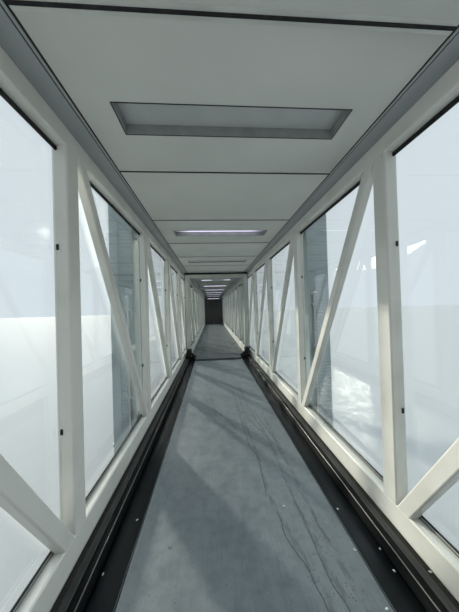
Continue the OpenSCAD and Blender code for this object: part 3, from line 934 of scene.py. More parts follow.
# Turns of a bolt that stands along +x by default
ALONG = {
    "+x": (0.0, 0.0, 0.0),
    "-x": (0.0, 0.0, math.pi),
    "+y": (0.0, 0.0, math.pi / 2),
    "-y": (0.0, 0.0, -math.pi / 2),
    "+z": (0.0, -math.pi / 2, 0.0),
    "-z": (0.0, math.pi / 2, 0.0),
}
# Both sides of the tunnel, with the way that a bolt points there
SIDES = ((1, "+x"), (-1, "-x"))


def bolts(name, body, across, spots, finish_name="zinc_bolt"):
    """Bolts at spots of (x, y, z, direction)."""
    places = [spot[:3] for spot in spots]
    turns = [ALONG[spot[3]] for spot in spots]
    return repeated(name, body, finish_name, bolt_unit(across), places, turns)


def outer_posts():
    """Places of the outer tunnel's posts along the tunnel."""
    return [FRONT_POST + i * BAY for i in range(7)]


def inner_posts():
    """Places of the inner tunnel's posts that stand clear of its end frames."""
    return [PORTAL + i * BAY for i in range(1, 9)]


class BRIDGE_OT_wall_tubes(bpy.types.Operator):
    """Rounded steel tubes of all four walls"""

    bl_idname = "bridge.wall_tubes"
    bl_label = "Wall tubes"

    def execute(self, context):
        sizes = context.scene.bridge_sizes
        outer = outer_posts()
        inner = inner_posts()
        for side in ("left", "right"):
            wall(
                f"outer_{side}_truss", POST_IN, CHORD_D, POST_D, SILL, HEAD,
                outer, outer[:-1], sizes.tube_round,
            )
            wall(
                f"inner_{side}_truss", INNER_POST_IN, INNER_CHORD_D, INNER_POST_D, INNER_SILL, INNER_HEAD,
                inner, [PORTAL] + inner, sizes.inner_round,
            )
        return {"FINISHED"}


class BRIDGE_OT_frames(bpy.types.Operator):
    """Portal, end frames and collars with their bolts"""

    bl_idname = "bridge.frames"
    bl_label = "Frames and collars"

    def execute(self, context):
        edge = context.scene.bridge_sizes.frame_round
        # The portal takes the greyer enamel, whose grey is painted shade on it
        for node, enamel in (
            ("front_frame", "white_enamel"), ("rear_frame", "white_enamel"), ("portal_frame", "greyer_enamel"),
            ("end_frame", "grey_enamel"),
        ):
            rounded_node(node, enamel, edge)
        rounded_node("portal_seal", "gasket_rubber", 0.004, 2)
        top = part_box("portal_frame")[1].z
        flap_w = 1.82
        bars(
            "portal_flap", "fixed_tunnel", "cover_rubber", 0.003,
            [((-flap_w / 2, PORTAL - 0.014, top - 0.034), (flap_w / 2, PORTAL + 0.001, top + 0.009))],
        )
        collar_bolt = 0.024
        spots = []
        for face, way in ((FRONT_FACE, "-y"), (REAR_FACE, "+y")):
            for z in (4.1, 4.6, 5.1, 5.6, 6.1, 6.6):
                spots += [(side * 1.055, face, z, way) for side in (-1, 1)]
            for x in (-0.7, -0.35, 0.0, 0.35, 0.7):
                spots += [(x, face, z, way) for z in (3.88, 6.72)]
        bolts("collar_bolts", "outer_tunnel", collar_bolt, spots)
        spots = []
        for z in (4.5, 5.0, 5.5, 6.0, 6.42):
            spots += [(side * 0.895, INNER_END, z, "+y") for side in (-1, 1)]
        bolts("end_frame_bolts", "fixed_tunnel", collar_bolt, spots)
        # The seal stands 5.5 mm proud of the collar, up both sides and across the top
        near = FRONT_FACE - 0.0055
        far = FRONT_FACE + 0.001
        seal_x = 0.965
        bars(
            "cab_seal", "outer_tunnel", "gasket_rubber", 0.002,
            [((seal_x, near, 3.9), (0.995, far, 6.72)), ((-seal_x, near, 6.665), (seal_x, far, 6.695))], True,
        )
        return {"FINISHED"}


def clips(tunnel, posts, ends, x, heights):
    """Black clips on both edges of the posts between the ends, at heights above the floor."""
    spots = []
    for y in posts:
        for height in heights:
            for away in (-1, 1):
                if ends[0] <= y + away * 0.5 <= ends[1]:
                    spots += [(side * x, y + away * (POST_W / 2 + 0.003), FLOOR + height) for side in (-1, 1)]
    unit = block_unit(0.013, 0.009, 0.032, 0.002)
    repeated(tunnel + "_clips", TUNNEL_BODY[tunnel], "gasket_rubber", unit, spots)


def glazing_tapes(tunnel, posts, x_in, x_out, low, high):
    """White tapes between the panes and the posts, from low to high above the floor."""
    half_w = POST_W / 2 + 0.0004
    tapes = [((x_in, y - half_w, FLOOR + low), (x_out, y + half_w, FLOOR + high)) for y in posts]
    bars(tunnel + "_glazing_tapes", TUNNEL_BODY[tunnel], "white_enamel", 0.001, tapes, True, segments=1)


def strip_screws(tunnel, posts, x, low, pitch, count):
    """Screws up the cover strips outside the posts, from low above the floor."""
    spots = []
    for y in posts:
        for k in range(count):
            spots += [(side * x, y, FLOOR + low + k * pitch, way) for side, way in SIDES]
    bolts(tunnel + "_strip_screws", TUNNEL_BODY[tunnel], 0.014, spots)


class BRIDGE_OT_glazing(bpy.types.Operator):
    """Glass panes with gaskets, clips and outside cover strips"""

    bl_idname = "bridge.glazing"
    bl_label = "Glazing"

    def execute(self, context):
        outer = outer_posts()
        inner = inner_posts()
        for tunnel in ("outer", "inner"):
            dress(tunnel + "_left_glass", "float_glass")
            dress(tunnel + "_right_glass", "float_glass")
            rounded_node(tunnel + "_gaskets", "gasket_rubber", 0.002, 2)
            rounded_node(tunnel + "_cover_strips", "white_enamel", 0.003, 2)
        clips("outer", outer, (FRONT_POST, REAR_POST), 1.011, (0.78, 1.82))
        glazing_tapes("outer", outer, 0.992, 1.0178, 0.228, 2.372)
        post_gap = 0.062
        beads = [
            ((1.0074, y + post_gap, SILL + 0.009), (1.0102, y + BAY - post_gap, SILL + 0.019))
            for y in outer[:-1]
        ]
        bars("outer_sill_beads", "outer_tunnel", "tray_enamel", 0.0008, beads, True, segments=1)
        clips("inner", inner, (PORTAL, INNER_END), 0.831, (0.85, 1.75))
        glazing_tapes("inner", inner, 0.814, 0.8378, 0.328, 2.202)
        strip_screws("outer", outer, 1.046, 0.3, 0.333, 7)
        strip_screws("inner", inner, 0.866, 0.4, 0.34, 6)
        low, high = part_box("outer_left_truss")
        # A drip rail has a flange against the chord and a lip that hangs from its outer edge
        rails = [
            ((x, low.y + 0.002, z), (1.052, high.y - 0.002, 3.937))
            for x, z in ((1.039, 3.925), (1.048, 3.905))
        ]
        bars("drip_rails", "outer_tunnel", "white_enamel", 0.002, rails, True)
        spots = []
        for y in outer:
            for side, way in SIDES:
                for shift in (-0.035, 0.035):
                    spots += [(side * 1.04, y + shift, z, way) for z in (4.05, 4.13, 6.46, 6.54)]
        bolts("chord_bolts", "outer_tunnel", 0.018, spots)
        return {"FINISHED"}


def ceiling_pieces(tunnel, laminate, height, half_w, wall_x, start, boards):
    """Boards with lips beside their seams, light trims and soffits of one tunnel."""
    body = TUNNEL_BODY[tunnel]
    rounded_node(tunnel + "_ceiling", laminate, 0.0015, 2)
    lip_w = bpy.context.scene.bridge_sizes.lip_w
    lips = []
    joints = []
    for board in range(1, boards):
        seam = start + board * BOARD_PITCH
        for side in (-1, 1):
            near, far = sorted((seam + side * SEAM / 2, seam + side * (SEAM / 2 + lip_w)))
            lips.append(((-half_w, near, height - 0.0012), (half_w, far, height + 0.001)))
        # Stem of the strip in the seam, and its head, which hangs under both boards and draws the black line
        for wide, low, high in ((SEAM, -0.002, 0.018), (SEAM_HEAD, -SEAM_HANG, -0.0003)):
            half = wide / 2
            joints.append(((-half_w, seam - half, height + low), (half_w, seam + half, height + high)))
    bars(tunnel + "_board_lips", body, "board_lip", 0.0005, lips, segments=1)
    bars(tunnel + "_seam_fillers", body, "gasket_rubber", 0.0005, joints, segments=1)
    trim = half_w + 0.011
    trim_out = trim + 0.013
    soffit = half_w + 0.030
    node = tunnel + "_ceiling_edges"
    low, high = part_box(node)
    bars(
        tunnel + "_trims", body, "edge_trim", 0.002,
        [((trim, low.y, height - 0.001), (trim_out, high.y, height + 0.02))], True, replaced=(node,),
    )
    bars(
        tunnel + "_trim_joints", body, "gasket_rubber", 0.0005,
        [((half_w, low.y, height + 0.001), (trim, high.y, height + 0.019)),
         ((trim_out, low.y, height + 0.001), (soffit, high.y, height + 0.019))],
        True, segments=1,
    )
    bars(
        tunnel + "_soffits", body, "soffit_enamel", 0.002,
        [((soffit, low.y, height), (wall_x, high.y, height + 0.02))], True,
    )
    bars(
        tunnel + "_ceiling_rails", body, "tray_enamel", 0.002,
        [((half_w - 0.12, low.y, height + 0.02), (wall_x, high.y, height + 0.05))], True,
    )


class BRIDGE_OT_ceilings(bpy.types.Operator):
    """Ceiling boards, trims and soffits of both tunnels"""

    bl_idname = "bridge.ceilings"
    bl_label = "Ceilings"

    def execute(self, context):
        ceiling_pieces("outer", "ceiling_laminate", CEILING, 0.813, POST_IN, OUTER_BOARDS, 10)
        ceiling_pieces("inner", "inner_laminate", INNER_CEILING, 0.643, INNER_POST_IN, INNER_BOARDS, 15)
        return {"FINISHED"}


def lamp_pieces(tunnel, height, length, centres, glows, lenses):
    """Trays with rims and frosted plates of one tunnel. A plate reaches down to its lens height, if given."""
    body = TUNNEL_BODY[tunnel]
    dress(tunnel + "_lamps", "tray_enamel")
    rims = bmesh.new()
    inset = 0.003
    for y in centres:
        add_frame(
            rims, 0.0, y, length / 2 - inset, LAMP_W / 2 - inset, 2 * inset, height - 0.0015, height + 0.001
        )
    rounded(rims, tunnel + "_lamp_rims", body, "gasket_rubber", 0.0005, 2)
    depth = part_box(tunnel + "_diffusers")
    half_l = length / 2 - 0.0065
    half_w = LAMP_W / 2 - 0.0065
    for number, (y, glow, lens) in enumerate(zip(centres, glows, lenses), 1):
        low = (-half_l, y - half_w, lens or depth[0].z)
        high = (half_l, y + half_w, depth[1].z)
        bars(f"{tunnel}_plate_{number}", body, glow, 0.0015, [(low, high)], replaced=(tunnel + "_diffusers",))


class BRIDGE_OT_lamps(bpy.types.Operator):
    """Ceiling lamps, some lit and some off"""

    bl_idname = "bridge.lamps"
    bl_label = "Lamps"

    def execute(self, context):
        lamp_pieces(
            "outer", CEILING, OUTER_LAMP_L, OUTER_LAMPS,
            ("frosted_off", "frosted_lit", "frosted_off", "frosted_dim"),
            (None, None, CEILING + 0.016, CEILING + 0.008),
        )
        # The last inner lamp hangs below the ceiling in a hood, in front of the doorway
        lamp_pieces(
            "inner", INNER_CEILING, INNER_LAMP_L, INNER_LAMPS,
            ("frosted_ends",) + ("frosted_dim",) * 5 + ("frosted_bright",),
            (INNER_CEILING + 0.003,) * 6 + (INNER_CEILING - 0.1,),
        )
        last = INNER_LAMPS[-1]
        low = (-0.47, last - 0.12, INNER_CEILING - 0.075)
        high = (0.47, last + 0.12, INNER_CEILING + 0.0005)
        bars("doorway_lamp_hood", "fixed_tunnel", "black_enamel", 0.004, [(low, high)])
        return {"FINISHED"}


def from_eye(path):
    """A path whose places along the tunnel are measured from the camera, in the tunnel's own places."""
    return [(x, y + EYE[1]) for x, y in path]


# Ripples and streaks of the sheet floor as paths of (x, metres ahead of the camera)
RIPPLES = (
    ((0.157, 3.601), (0.19, 2.969), (0.199, 2.526), (0.246, 2.346), (0.234, 2.0), (0.222, 1.838)),
    ((0.27, 1.737), (0.271, 1.612), (0.269, 1.521), (0.302, 1.405), (0.336, 1.318), (0.339, 1.243),
     (0.355, 1.175), (0.355, 1.13), (0.365, 0.9), (0.352, 0.6)),
    ((0.425, 1.893), (0.423, 1.744), (0.429, 1.635), (0.428, 1.504), (0.426, 1.407), (0.426, 1.309),
     (0.432, 1.222), (0.448, 1.166), (0.457, 1.115), (0.47, 0.8)),
    ((0.514, 1.711), (0.506, 1.587), (0.515, 1.512), (0.526, 1.444)),
    ((0.24, 4.012), (0.26, 3.243), (0.38, 2.82), (0.474, 2.492)),
    ((-0.351, 4.104), (-0.182, 3.557), (0.012, 3.128), (0.114, 2.855)),
    ((0.388, 3.387), (0.468, 2.808), (0.526, 2.485)),
    ((-0.461, 1.522), (-0.447, 1.505), (-0.438, 1.519)),
)
STREAKS = (
    ((0.16, 4.4), (0.19, 3.6), (0.225, 2.97), (0.25, 2.35), (0.25, 1.84), (0.29, 1.6), (0.325, 1.4),
     (0.36, 1.24), (0.375, 1.1), (0.38, 0.6)),
    ((0.3, 4.6), (0.35, 3.4), (0.41, 2.8), (0.43, 2.2), (0.42, 1.89), (0.42, 1.74), (0.44, 1.5),
     (0.443, 1.31), (0.46, 1.17), (0.48, 0.6)),
    ((0.49, 3.3), (0.5, 2.3), (0.51, 1.7), (0.52, 1.4), (0.54, 1.1)),
    ((-0.36, 6.2), (-0.3, 4.9), (-0.2, 3.9), (-0.12, 3.2)),
)
# Flecks on the floor, the gutters and the tracks as (x, metres ahead of the camera, height)
FLECKS = (
    (0.705, 1.692, GUTTER_TOP), (0.648, 1.388, FLOOR), (0.634, 1.107, FLOOR), (0.806, 1.393, GUTTER_TOP),
    (0.80, 1.271, GUTTER_TOP), (0.93, 1.184, 4.06), (-0.716, 1.753, GUTTER_TOP), (-0.8, 1.414, GUTTER_TOP),
    (0.328, 1.742, FLOOR),
)


def floor_crumbs(paths):
    """Crumbs of dirt, two of three along the streaks and the others anywhere on the floor."""
    chance = random.Random(11)
    crumbs = []
    for number in range(330):
        path = paths[number % len(paths)]
        leg = chance.randrange(len(path) - 1)
        share = chance.random()
        x = path[leg][0] * (1 - share) + path[leg + 1][0] * share + chance.gauss(0.0, 0.03)
        y = path[leg][1] * (1 - share) + path[leg + 1][1] * share
        if number % 3 == 0:
            x = chance.uniform(-0.62, 0.62)
            y = chance.uniform(-20.1, -14.2)
        crumbs.append((min(x, 0.63), y, FLOOR + 0.0004))
    unit = bmesh.new()
    bmesh.ops.create_cone(
        unit, cap_ends=True, segments=6, radius1=1.0, radius2=0.6, depth=1.0,
        matrix=Matrix.Diagonal((0.0028, 0.0045, 0.0009, 1.0)),
    )
    turns = [(0.0, 0.0, chance.uniform(0.0, 3.0)) for _ in crumbs]
    repeated("floor_crumbs", "outer_tunnel", "floor_mark", unit, crumbs, turns)


def floor_flecks():
    """Flat drops of plaster, each turned another way."""
    unit = bmesh.new()
    bmesh.ops.create_icosphere(
        unit, subdivisions=2, radius=1, matrix=Matrix.Diagonal((0.0055, 0.009, 0.0022, 1.0))
    )
    places = [(x, y + EYE[1], z + 0.0012) for x, y, z in FLECKS]
    turns = [(0.0, 0.0, 0.9 * k) for k in range(len(FLECKS))]
    repeated("floor_flecks", "outer_tunnel", "floor_fleck", unit, places, turns)


def floor_stringers():
    """Stringers under the outer floor, between the cross beams and clear of the column beam."""
    gap = 0.055
    stringers = []
    for i in range(6):
        first = FRONT_POST + i * BAY + gap
        last = FRONT_POST + (i + 1) * BAY - gap
        if i == 2:
            first = COLUMN_Y + 0.135
        stringers.append(((0.4, first, 3.82), (0.46, last, 3.902)))
    bars("floor_stringers", "outer_tunnel", "grey_enamel", 0.005, stringers, True)


class BRIDGE_OT_floors(bpy.types.Operator):
    """Sheet floors with their edgings and marks, the gutter covers, and what carries the floors"""

    bl_idname = "bridge.floors"
    bl_label = "Floors"

    def execute(self, context):
        dress("outer_floor", "sheet_floor")
        dress("inner_floor", "inner_sheet_floor")
        low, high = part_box("outer_floor")
        bars(
            "floor_edgings", "outer_tunnel", "edging", 0.0006,
            [((0.6665, low.y, GUTTER_TOP - 0.002), (0.6705, high.y, FLOOR - 0.001))], True, segments=1,
        )
        ripples = [from_eye(path) for path in RIPPLES]
        ribbons("floor_ripples", "outer_tunnel", "floor_mark", ripples, 0.005, FLOOR + 0.0005)
        streaks = [from_eye(path) for path in STREAKS]
        ribbons("floor_streaks", "outer_tunnel", "floor_streak", streaks, 0.021, FLOOR + 0.0003)
        floor_crumbs(streaks)
        floor_flecks()
        rounded_node("gutter_covers", "cover_rubber", 0.006)
        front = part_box("inner_floor")[0].y
        bars(
            "inner_floor_nosing", "fixed_tunnel", "bright_edge", 0.001,
            [((-0.77, front + 0.002, INNER_FLOOR - 0.002), (0.77, front + 0.034, INNER_FLOOR + 0.002))],
        )
        ribs = [((-0.7, y - 0.03, 4.015), (0.7, y + 0.03, 4.041)) for y in inner_posts()]
        bars("inner_floor_ribs", "fixed_tunnel", "grey_enamel", 0.004, ribs)
        floor_stringers()
        return {"FINISHED"}


class BRIDGE_OT_tracks(bpy.types.Operator):
    """Roller tracks with their nosing, groove and gritty top"""

    bl_idname = "bridge.tracks"
    bl_label = "Roller tracks"

    def execute(self, context):
        low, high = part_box("roller_tracks")
        foot = 3.94
        top = high.z
        groove = top - 0.012
        shelf = top - 0.004
        # Points of (x, z, finish of the side after it), from the inner foot over the top to the outer foot
        profile = [
            (0.826, foot, 0), (0.826, top - 0.002, 2), (0.828, top, 2), (0.832, top, 0), (0.835, groove, 0),
            (0.868, groove, 0), (0.871, top - 0.001, 2), (0.873, top, 3), (0.912, top, 1), (0.936, top, 1),
            (0.938, shelf, 1), (0.945, shelf, 0), (0.945, foot, 0),
        ]
        finishes = ["track_side", "track_top", "bright_edge", "rolled_lane"]
        profiled(
            "track_profiles", "outer_tunnel", finishes, profile, low.y, high.y, replaced=("roller_tracks",)
        )
        return {"FINISHED"}


class BRIDGE_OT_rollers(bpy.types.Operator):
    """Rollers on the tracks in their black housings"""

    bl_idname = "bridge.rollers"
    bl_label = "Rollers and housings"

    def execute(self, context):
        rounded_node("roller_housings", "black_enamel", 0.011, 3)
        radius = 0.06
        centre_y = PORTAL - 0.075
        centre_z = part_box("track_rollers")[0].z + radius
        roller = turned(
            [(-0.03, 0.012), (-0.03, 0.026), (-0.022, 0.03), (-0.022, 0.048), (-0.03, 0.052), (-0.03, 0.056),
             (-0.026, radius), (0.026, radius), (0.03, 0.056), (0.03, 0.052), (0.022, 0.048), (0.022, 0.03),
             (0.03, 0.026), (0.03, 0.012), (-0.03, 0.012)],
            48,
        )
        spots = both_sides((0.826 + 0.905) / 2, centre_y, centre_z)
        smooth_piece(
            set_down(roller, spots), "turned_rollers", "fixed_tunnel", "machined_steel", 30,
            ("track_rollers",),
        )
        pin_r = 0.012
        pin_half = 0.0665
        cut = 0.002
        pin = turned(
            [(-pin_half, 0.0), (-pin_half, pin_r - cut), (-pin_half + cut, pin_r), (pin_half - cut, pin_r),
             (pin_half, pin_r - cut), (pin_half, 0.0)],
            24,
        )
        spots = both_sides(0.83, centre_y, centre_z)
        smooth_piece(set_down(pin, spots), "roller_pins", "fixed_tunnel", "machined_steel", 30)
        spots = []
        for side in (-1, 1):
            for x in (0.775, 0.885):
                spots += [(side * x, PORTAL - 0.15, z, "-y") for z in (4.13, 4.28)]
        bolts("housing_bolts", "fixed_tunnel", 0.013, spots)
        guard = turned(
            [(-0.022, 0.0), (-0.022, 0.028), (-0.017, 0.034), (0.017, 0.034), (0.022, 0.028), (0.022, 0.014),
             (0.034, 0.012), (0.034, 0.0)],
            32,
        )
        spots = both_sides(0.711, PORTAL - 0.11, 4.034, True)
        smooth_piece(set_down(guard, spots), "side_guards", "fixed_tunnel", "gasket_rubber", 30)
        return {"FINISHED"}


def lozenge_unit(length, width, height):
    """A raised lozenge with cut sides, a little sunk into the plate that it stands on."""
    unit = bmesh.new()
    end = length / 2
    side = width / 2
    outline = [(-end, 0), (-end / 2, -side), (end / 2, -side), (end, 0), (end / 2, side), (-end / 2, side)]
    feet = [unit.verts.new((x, y, -0.0004)) for x, y in outline]
    tops = [unit.verts.new((x * 0.7, y * 0.5, height)) for x, y in outline]
    unit.faces.new(tops)
    unit.faces.new(list(reversed(feet)))
    joined_faces(unit, feet, tops)
    return unit


class BRIDGE_OT_ramp(bpy.types.Operator):
    """Hinged chequer-plate ramp between the two floors"""

    bl_idname = "bridge.ramp"
    bl_label = "Ramp"

    def execute(self, context):
        dress("transition_ramp", "chequer_plate")
        dress("ramp_hinge", "machined_steel")
        pitch = context.scene.bridge_sizes.chequer
        toe = Vector((0.0, -13.45, 4.016))
        top = Vector((0.0, -13.05, 4.1))
        slope = math.atan2(top.z - toe.z, top.y - toe.y)
        along = (top - toe).normalized()
        # The lozenges start above the toe strip and cover 0.29 m up the slope
        first_row = 0.098
        plate_w = 1.24
        columns = int(plate_w / pitch)
        rows = int(0.29 / pitch)
        places = []
        turns = []
        for i in range(columns):
            for j in range(rows):
                x = -plate_w / 2 + (i + 0.5) * plate_w / columns
                places.append(toe + along * (first_row + j * pitch) + Vector((x, 0, 0)))
                askew = math.radians(45 if (i + j) % 2 else -45)
                turn = Matrix.Rotation(slope, 3, "X") @ Matrix.Rotation(askew, 3, "Z")
                turns.append(tuple(turn.to_euler()))
        unit = lozenge_unit(0.022, 0.007, 0.0012)
        repeated("chequer_lozenges", "ramp", "chequer_plate", unit, places, turns, angle=20)
        shape = bmesh.new()
        add_bar(shape, (-0.648, 0.001, -0.001), (0.648, 0.085, 0.0015))
        bmesh.ops.transform(
            shape, verts=shape.verts, matrix=Matrix.Translation(toe) @ Matrix.Rotation(slope, 4, "X")
        )
        rounded(shape, "ramp_toe_strip", "ramp", "black_enamel", 0.0008, 1)
        return {"FINISHED"}


def slat_unit(half_w, pitch):
    """One hollow slat of the shutter, from its foot up to the next slat."""
    unit = bmesh.new()
    outline = [
        (-0.004, 0.0), (-0.013, 0.012), (-0.016, 0.03), (-0.013, 0.056), (-0.005, pitch - 0.009),
        (-0.009, pitch - 0.003), (-0.002, pitch), (0.006, pitch - 0.004), (0.006, 0.002),
    ]
    ends = [[unit.verts.new((x, y, z)) for y, z in outline] for x in (-half_w, half_w)]
    joined_faces(unit, *ends)
    for end in ends:
        unit.faces.new(end)
    return unit


class BRIDGE_OT_doorway(bpy.types.Operator):
    """Roller shutter in the terminal end's doorway"""

    bl_idname = "bridge.doorway"
    bl_label = "Shutter"

    def execute(self, context):
        low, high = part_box("end_shutter")
        middle = (low.y + high.y) / 2
        bar_top = low.z + 0.055
        half_w = 0.775
        count = round((high.z - bar_top) / context.scene.bridge_sizes.slat)
        pitch = (high.z - bar_top) / count
        repeated(
            "shutter_slats", "fixed_tunnel", "shutter_enamel", slat_unit(half_w, pitch),
            [(0.0, middle, bar_top)], step=(0.0, 0.0, pitch), count=count, replaced=("end_shutter",),
        )
        bars(
            "shutter_bottom_bar", "fixed_tunnel", "shutter_enamel", 0.004,
            [((-half_w, middle - 0.022, low.z + 0.002), (half_w, middle + 0.022, bar_top))],
        )
        # A guide has a flange on each side of the slats
        bars(
            "shutter_guides", "fixed_tunnel", "shutter_enamel", 0.003,
            [((0.735, near, low.z), (0.78, far, high.z)) for near, far in (
                (low.y, middle - 0.018), (middle + 0.012, high.y),
            )],
            True,
        )
        bars(
            "shutter_hood", "fixed_tunnel", "shutter_enamel", 0.012,
            [((-0.778, 1.0, high.z - 0.004), (0.778, 1.079, INNER_CEILING - 0.002))], segments=3,
        )
        # The handle is a grip on two stubs
        grip_low = low.z + 0.09
        grip_high = low.z + 0.105
        stubs = [
            ((x, middle - 0.036, grip_low), (x + 0.015, middle - 0.012, grip_high)) for x in (-0.085, 0.07)
        ]
        bars(
            "shutter_handle", "fixed_tunnel", "machined_steel", 0.004,
            [((-0.09, middle - 0.045, grip_low), (0.09, middle - 0.033, grip_high))] + stubs,
        )
        return {"FINISHED"}


class BRIDGE_OT_roofs(bpy.types.Operator):
    """Roofs with standing seams, and the beams under them"""

    bl_idname = "bridge.roofs"
    bl_label = "Roofs"

    def execute(self, context):
        pitch = context.scene.bridge_sizes.roof_seam
        rounded_node("outer_roof", "grey_enamel", 0.008, 2)
        rounded_node("inner_roof", "grey_enamel", 0.006, 2)
        rounded_node("outer_roof_beams", "grey_enamel", 0.006, 2)
        end_gap = 0.05
        for tunnel, width, height in (("outer", 2.05, 0.022), ("inner", 1.74, 0.01)):
            body = TUNNEL_BODY[tunnel]
            low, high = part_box(tunnel + "_roof")
            length = high.y - low.y
            count = int((length - 2 * end_gap) / pitch)
            first = low.y + (length - (count - 1) * pitch) / 2
            repeated(
                tunnel + "_roof_seams", body, "grey_enamel", block_unit(width, 0.014, height, 0.003),
                [(0.0, first, high.z + height / 2 - 0.001)], step=(0.0, pitch, 0.0), count=count,
            )
            # A flashing folds down over the roof's side and lies flat on its top
            rim = high.x
            near = low.y + 0.002
            far = high.y - 0.002
            bars(
                tunnel + "_roof_flashings", body, "grey_enamel", 0.003,
                [((rim - 0.012, near, low.z - 0.035), (rim + 0.006, far, high.z + 0.006)),
                 ((rim - 0.05, near, high.z - 0.001), (rim - 0.01, far, high.z + 0.004))],
                True,
            )
        return {"FINISHED"}


# Heights of the lift columns' foot and first rib, and the distance between ribs
COLUMN_FOOT = 3.468
COLUMN_RIBS = 3.95
RIB_PITCH = 0.044
# Half the width of a tyre
TYRE_HALF = 0.16
# Stands a shape upright that was turned about the x axis
UPRIGHT = Matrix.Rotation(-math.pi / 2, 4, "Y")


def ring_around(x, y, outer, inner, low, high):
    """Four bars around a rectangular hole. Outer and inner are half sizes of (x, y)."""
    out_x, out_y = outer
    in_x, in_y = inner
    return [
        ((x - out_x, y - out_y, low), (x - in_x, y + out_y, high)),
        ((x + in_x, y - out_y, low), (x + out_x, y + out_y, high)),
        ((x - in_x, y - out_y, low), (x + in_x, y - in_y, high)),
        ((x - in_x, y + in_y, low), (x + in_x, y + out_y, high)),
    ]


def column_faces():
    """Ribs across both faces of the lift columns, and the plain strips beside them on the left one."""
    for name, middle, wide in (("left", -1.243, 0.17), ("right", COLUMN_X, 0.262)):
        repeated(
            name + "_column_ribs", "outer_tunnel", "grey_enamel", block_unit(wide, 0.008, 0.013, 0.003),
            [(middle, COLUMN_Y + away, COLUMN_RIBS) for away in (-0.126, 0.126)],
            step=(0.0, 0.0, RIB_PITCH), count=65,
        )
    strips = [
        ((-1.438, COLUMN_Y + near, 3.9), (-1.33, COLUMN_Y + far, 6.855))
        for near, far in ((-0.131, -0.12), (0.12, 0.131))
    ]
    bars("left_column_strips", "outer_tunnel", "grey_enamel", 0.002, strips)


def lift_screws():
    """Screws in front of the columns, with the clamps that hold them."""
    rod_r = 0.017
    rod = turned(
        [(3.82, 0.0), (3.82, rod_r), (5.6, rod_r), (5.6, 0.034), (5.606, 0.038), (5.63, 0.038),
         (5.642, 0.028), (5.645, 0.0)],
        24,
    )
    bmesh.ops.transform(rod, verts=rod.verts, matrix=UPRIGHT)
    spots = both_sides(1.215, COLUMN_Y - 0.158, 0.0)
    smooth_piece(set_down(rod, spots), "lift_screws", "outer_tunnel", "machined_steel", 30)
    clamps = [
        ((1.185, COLUMN_Y - 0.18, z), (1.245, COLUMN_Y - 0.12, z + 0.035)) for z in (3.82, 4.35, 4.9, 5.45)
    ]
    bars("screw_clamps", "outer_tunnel", "grey_enamel", 0.004, clamps, True)


def column_collars():
    """Caps and collars of the columns, and the wipers that hold the legs in them."""
    x, y = COLUMN_X, COLUMN_Y
    collars = [((x - 0.165, y - 0.145, 6.858), (x + 0.165, y + 0.145, 6.872))]
    collars += ring_around(x, y, (0.165, 0.145), (0.111, 0.091), COLUMN_FOOT, COLUMN_FOOT + 0.03)
    collars.append(((x - 0.153, y - 0.137, 3.74), (x + 0.153, y + 0.137, 3.77)))
    bars("column_collars", "outer_tunnel", "grey_enamel", 0.004, collars, True)
    wipers = ring_around(x, y, (0.123, 0.102), (0.11, 0.09), COLUMN_FOOT - 0.012, COLUMN_FOOT)
    bars("leg_wipers", "outer_tunnel", "gasket_rubber", 0.003, wipers, True)


def column_covers():
    """Inspection covers on the columns' outer faces, with the bolts of covers and collars."""
    covers = [((1.438, COLUMN_Y - 0.09, z), (1.446, COLUMN_Y + 0.09, z + 0.42)) for z in (4.3, 5.6)]
    bars("column_covers", "outer_tunnel", "grey_enamel", 0.003, covers, True)
    spots = []
    for side, way in SIDES:
        for z in (4.33, 4.51, 4.69, 5.63, 5.81, 5.99):
            spots += [(side * 1.446, COLUMN_Y + away, z, way) for away in (-0.07, 0.07)]
        for away_x in (-0.14, 0.14):
            x = side * (COLUMN_X + away_x)
            spots += [(x, COLUMN_Y + away, COLUMN_FOOT, "-z") for away in (-0.12, 0.0, 0.12)]
    bolts("column_bolts", "outer_tunnel", 0.016, spots)


def leg_feet():
    """Plates between the legs and the axle beam, with their bolts."""
    top = 0.63
    feet = [((COLUMN_X - 0.14, COLUMN_Y - 0.115, 0.608), (COLUMN_X + 0.14, COLUMN_Y + 0.115, top))]
    bars("leg_feet", "outer_tunnel", "grey_enamel", 0.005, feet, True)
    spots = []
    for side in (-1, 1):
        for away_x in (-0.125, 0.0, 0.125):
            x = side * (COLUMN_X + away_x)
            spots += [(x, COLUMN_Y + away, top, "+z") for away in (-0.102, 0.102)]
    bolts("foot_bolts", "outer_tunnel", 0.02, spots)


def beam_flanges():
    """Lower flanges of the floor beams, cut back on the outer side of the first and the last one."""
    half_w = 0.062
    cut_back = 0.012
    flanges = []
    for y in outer_posts():
        near = y - half_w
        far = y + half_w
        if y == FRONT_POST:
            near += cut_back
        if y > REAR_POST - 0.1:
            far -= cut_back
        flanges.append(((-1.035, near, 3.774), (1.035, far, 3.785)))
    bars("beam_flanges", "outer_tunnel", "grey_enamel", 0.003, flanges)


class BRIDGE_OT_drive(bpy.types.Operator):
    """Lift columns, legs and the beams that they carry"""

    bl_idname = "bridge.drive"
    bl_label = "Lift columns"

    def execute(self, context):
        edge = context.scene.bridge_sizes.frame_round
        for node in ("floor_beams", "column_beam", "lift_columns"):
            rounded_node(node, "grey_enamel", edge)
        rounded_node("lift_legs", "machined_steel", edge)
        column_faces()
        lift_screws()
        column_collars()
        column_covers()
        leg_feet()
        beam_flanges()
        return {"FINISHED"}


def around(count, radius, start=0.0):
    """Places of (sine, cosine, angle) at equal steps around a circle of that radius."""
    angles = [2 * math.pi * (k + start) / count for k in range(count)]
    return [(radius * math.sin(angle), radius * math.cos(angle), angle) for angle in angles]


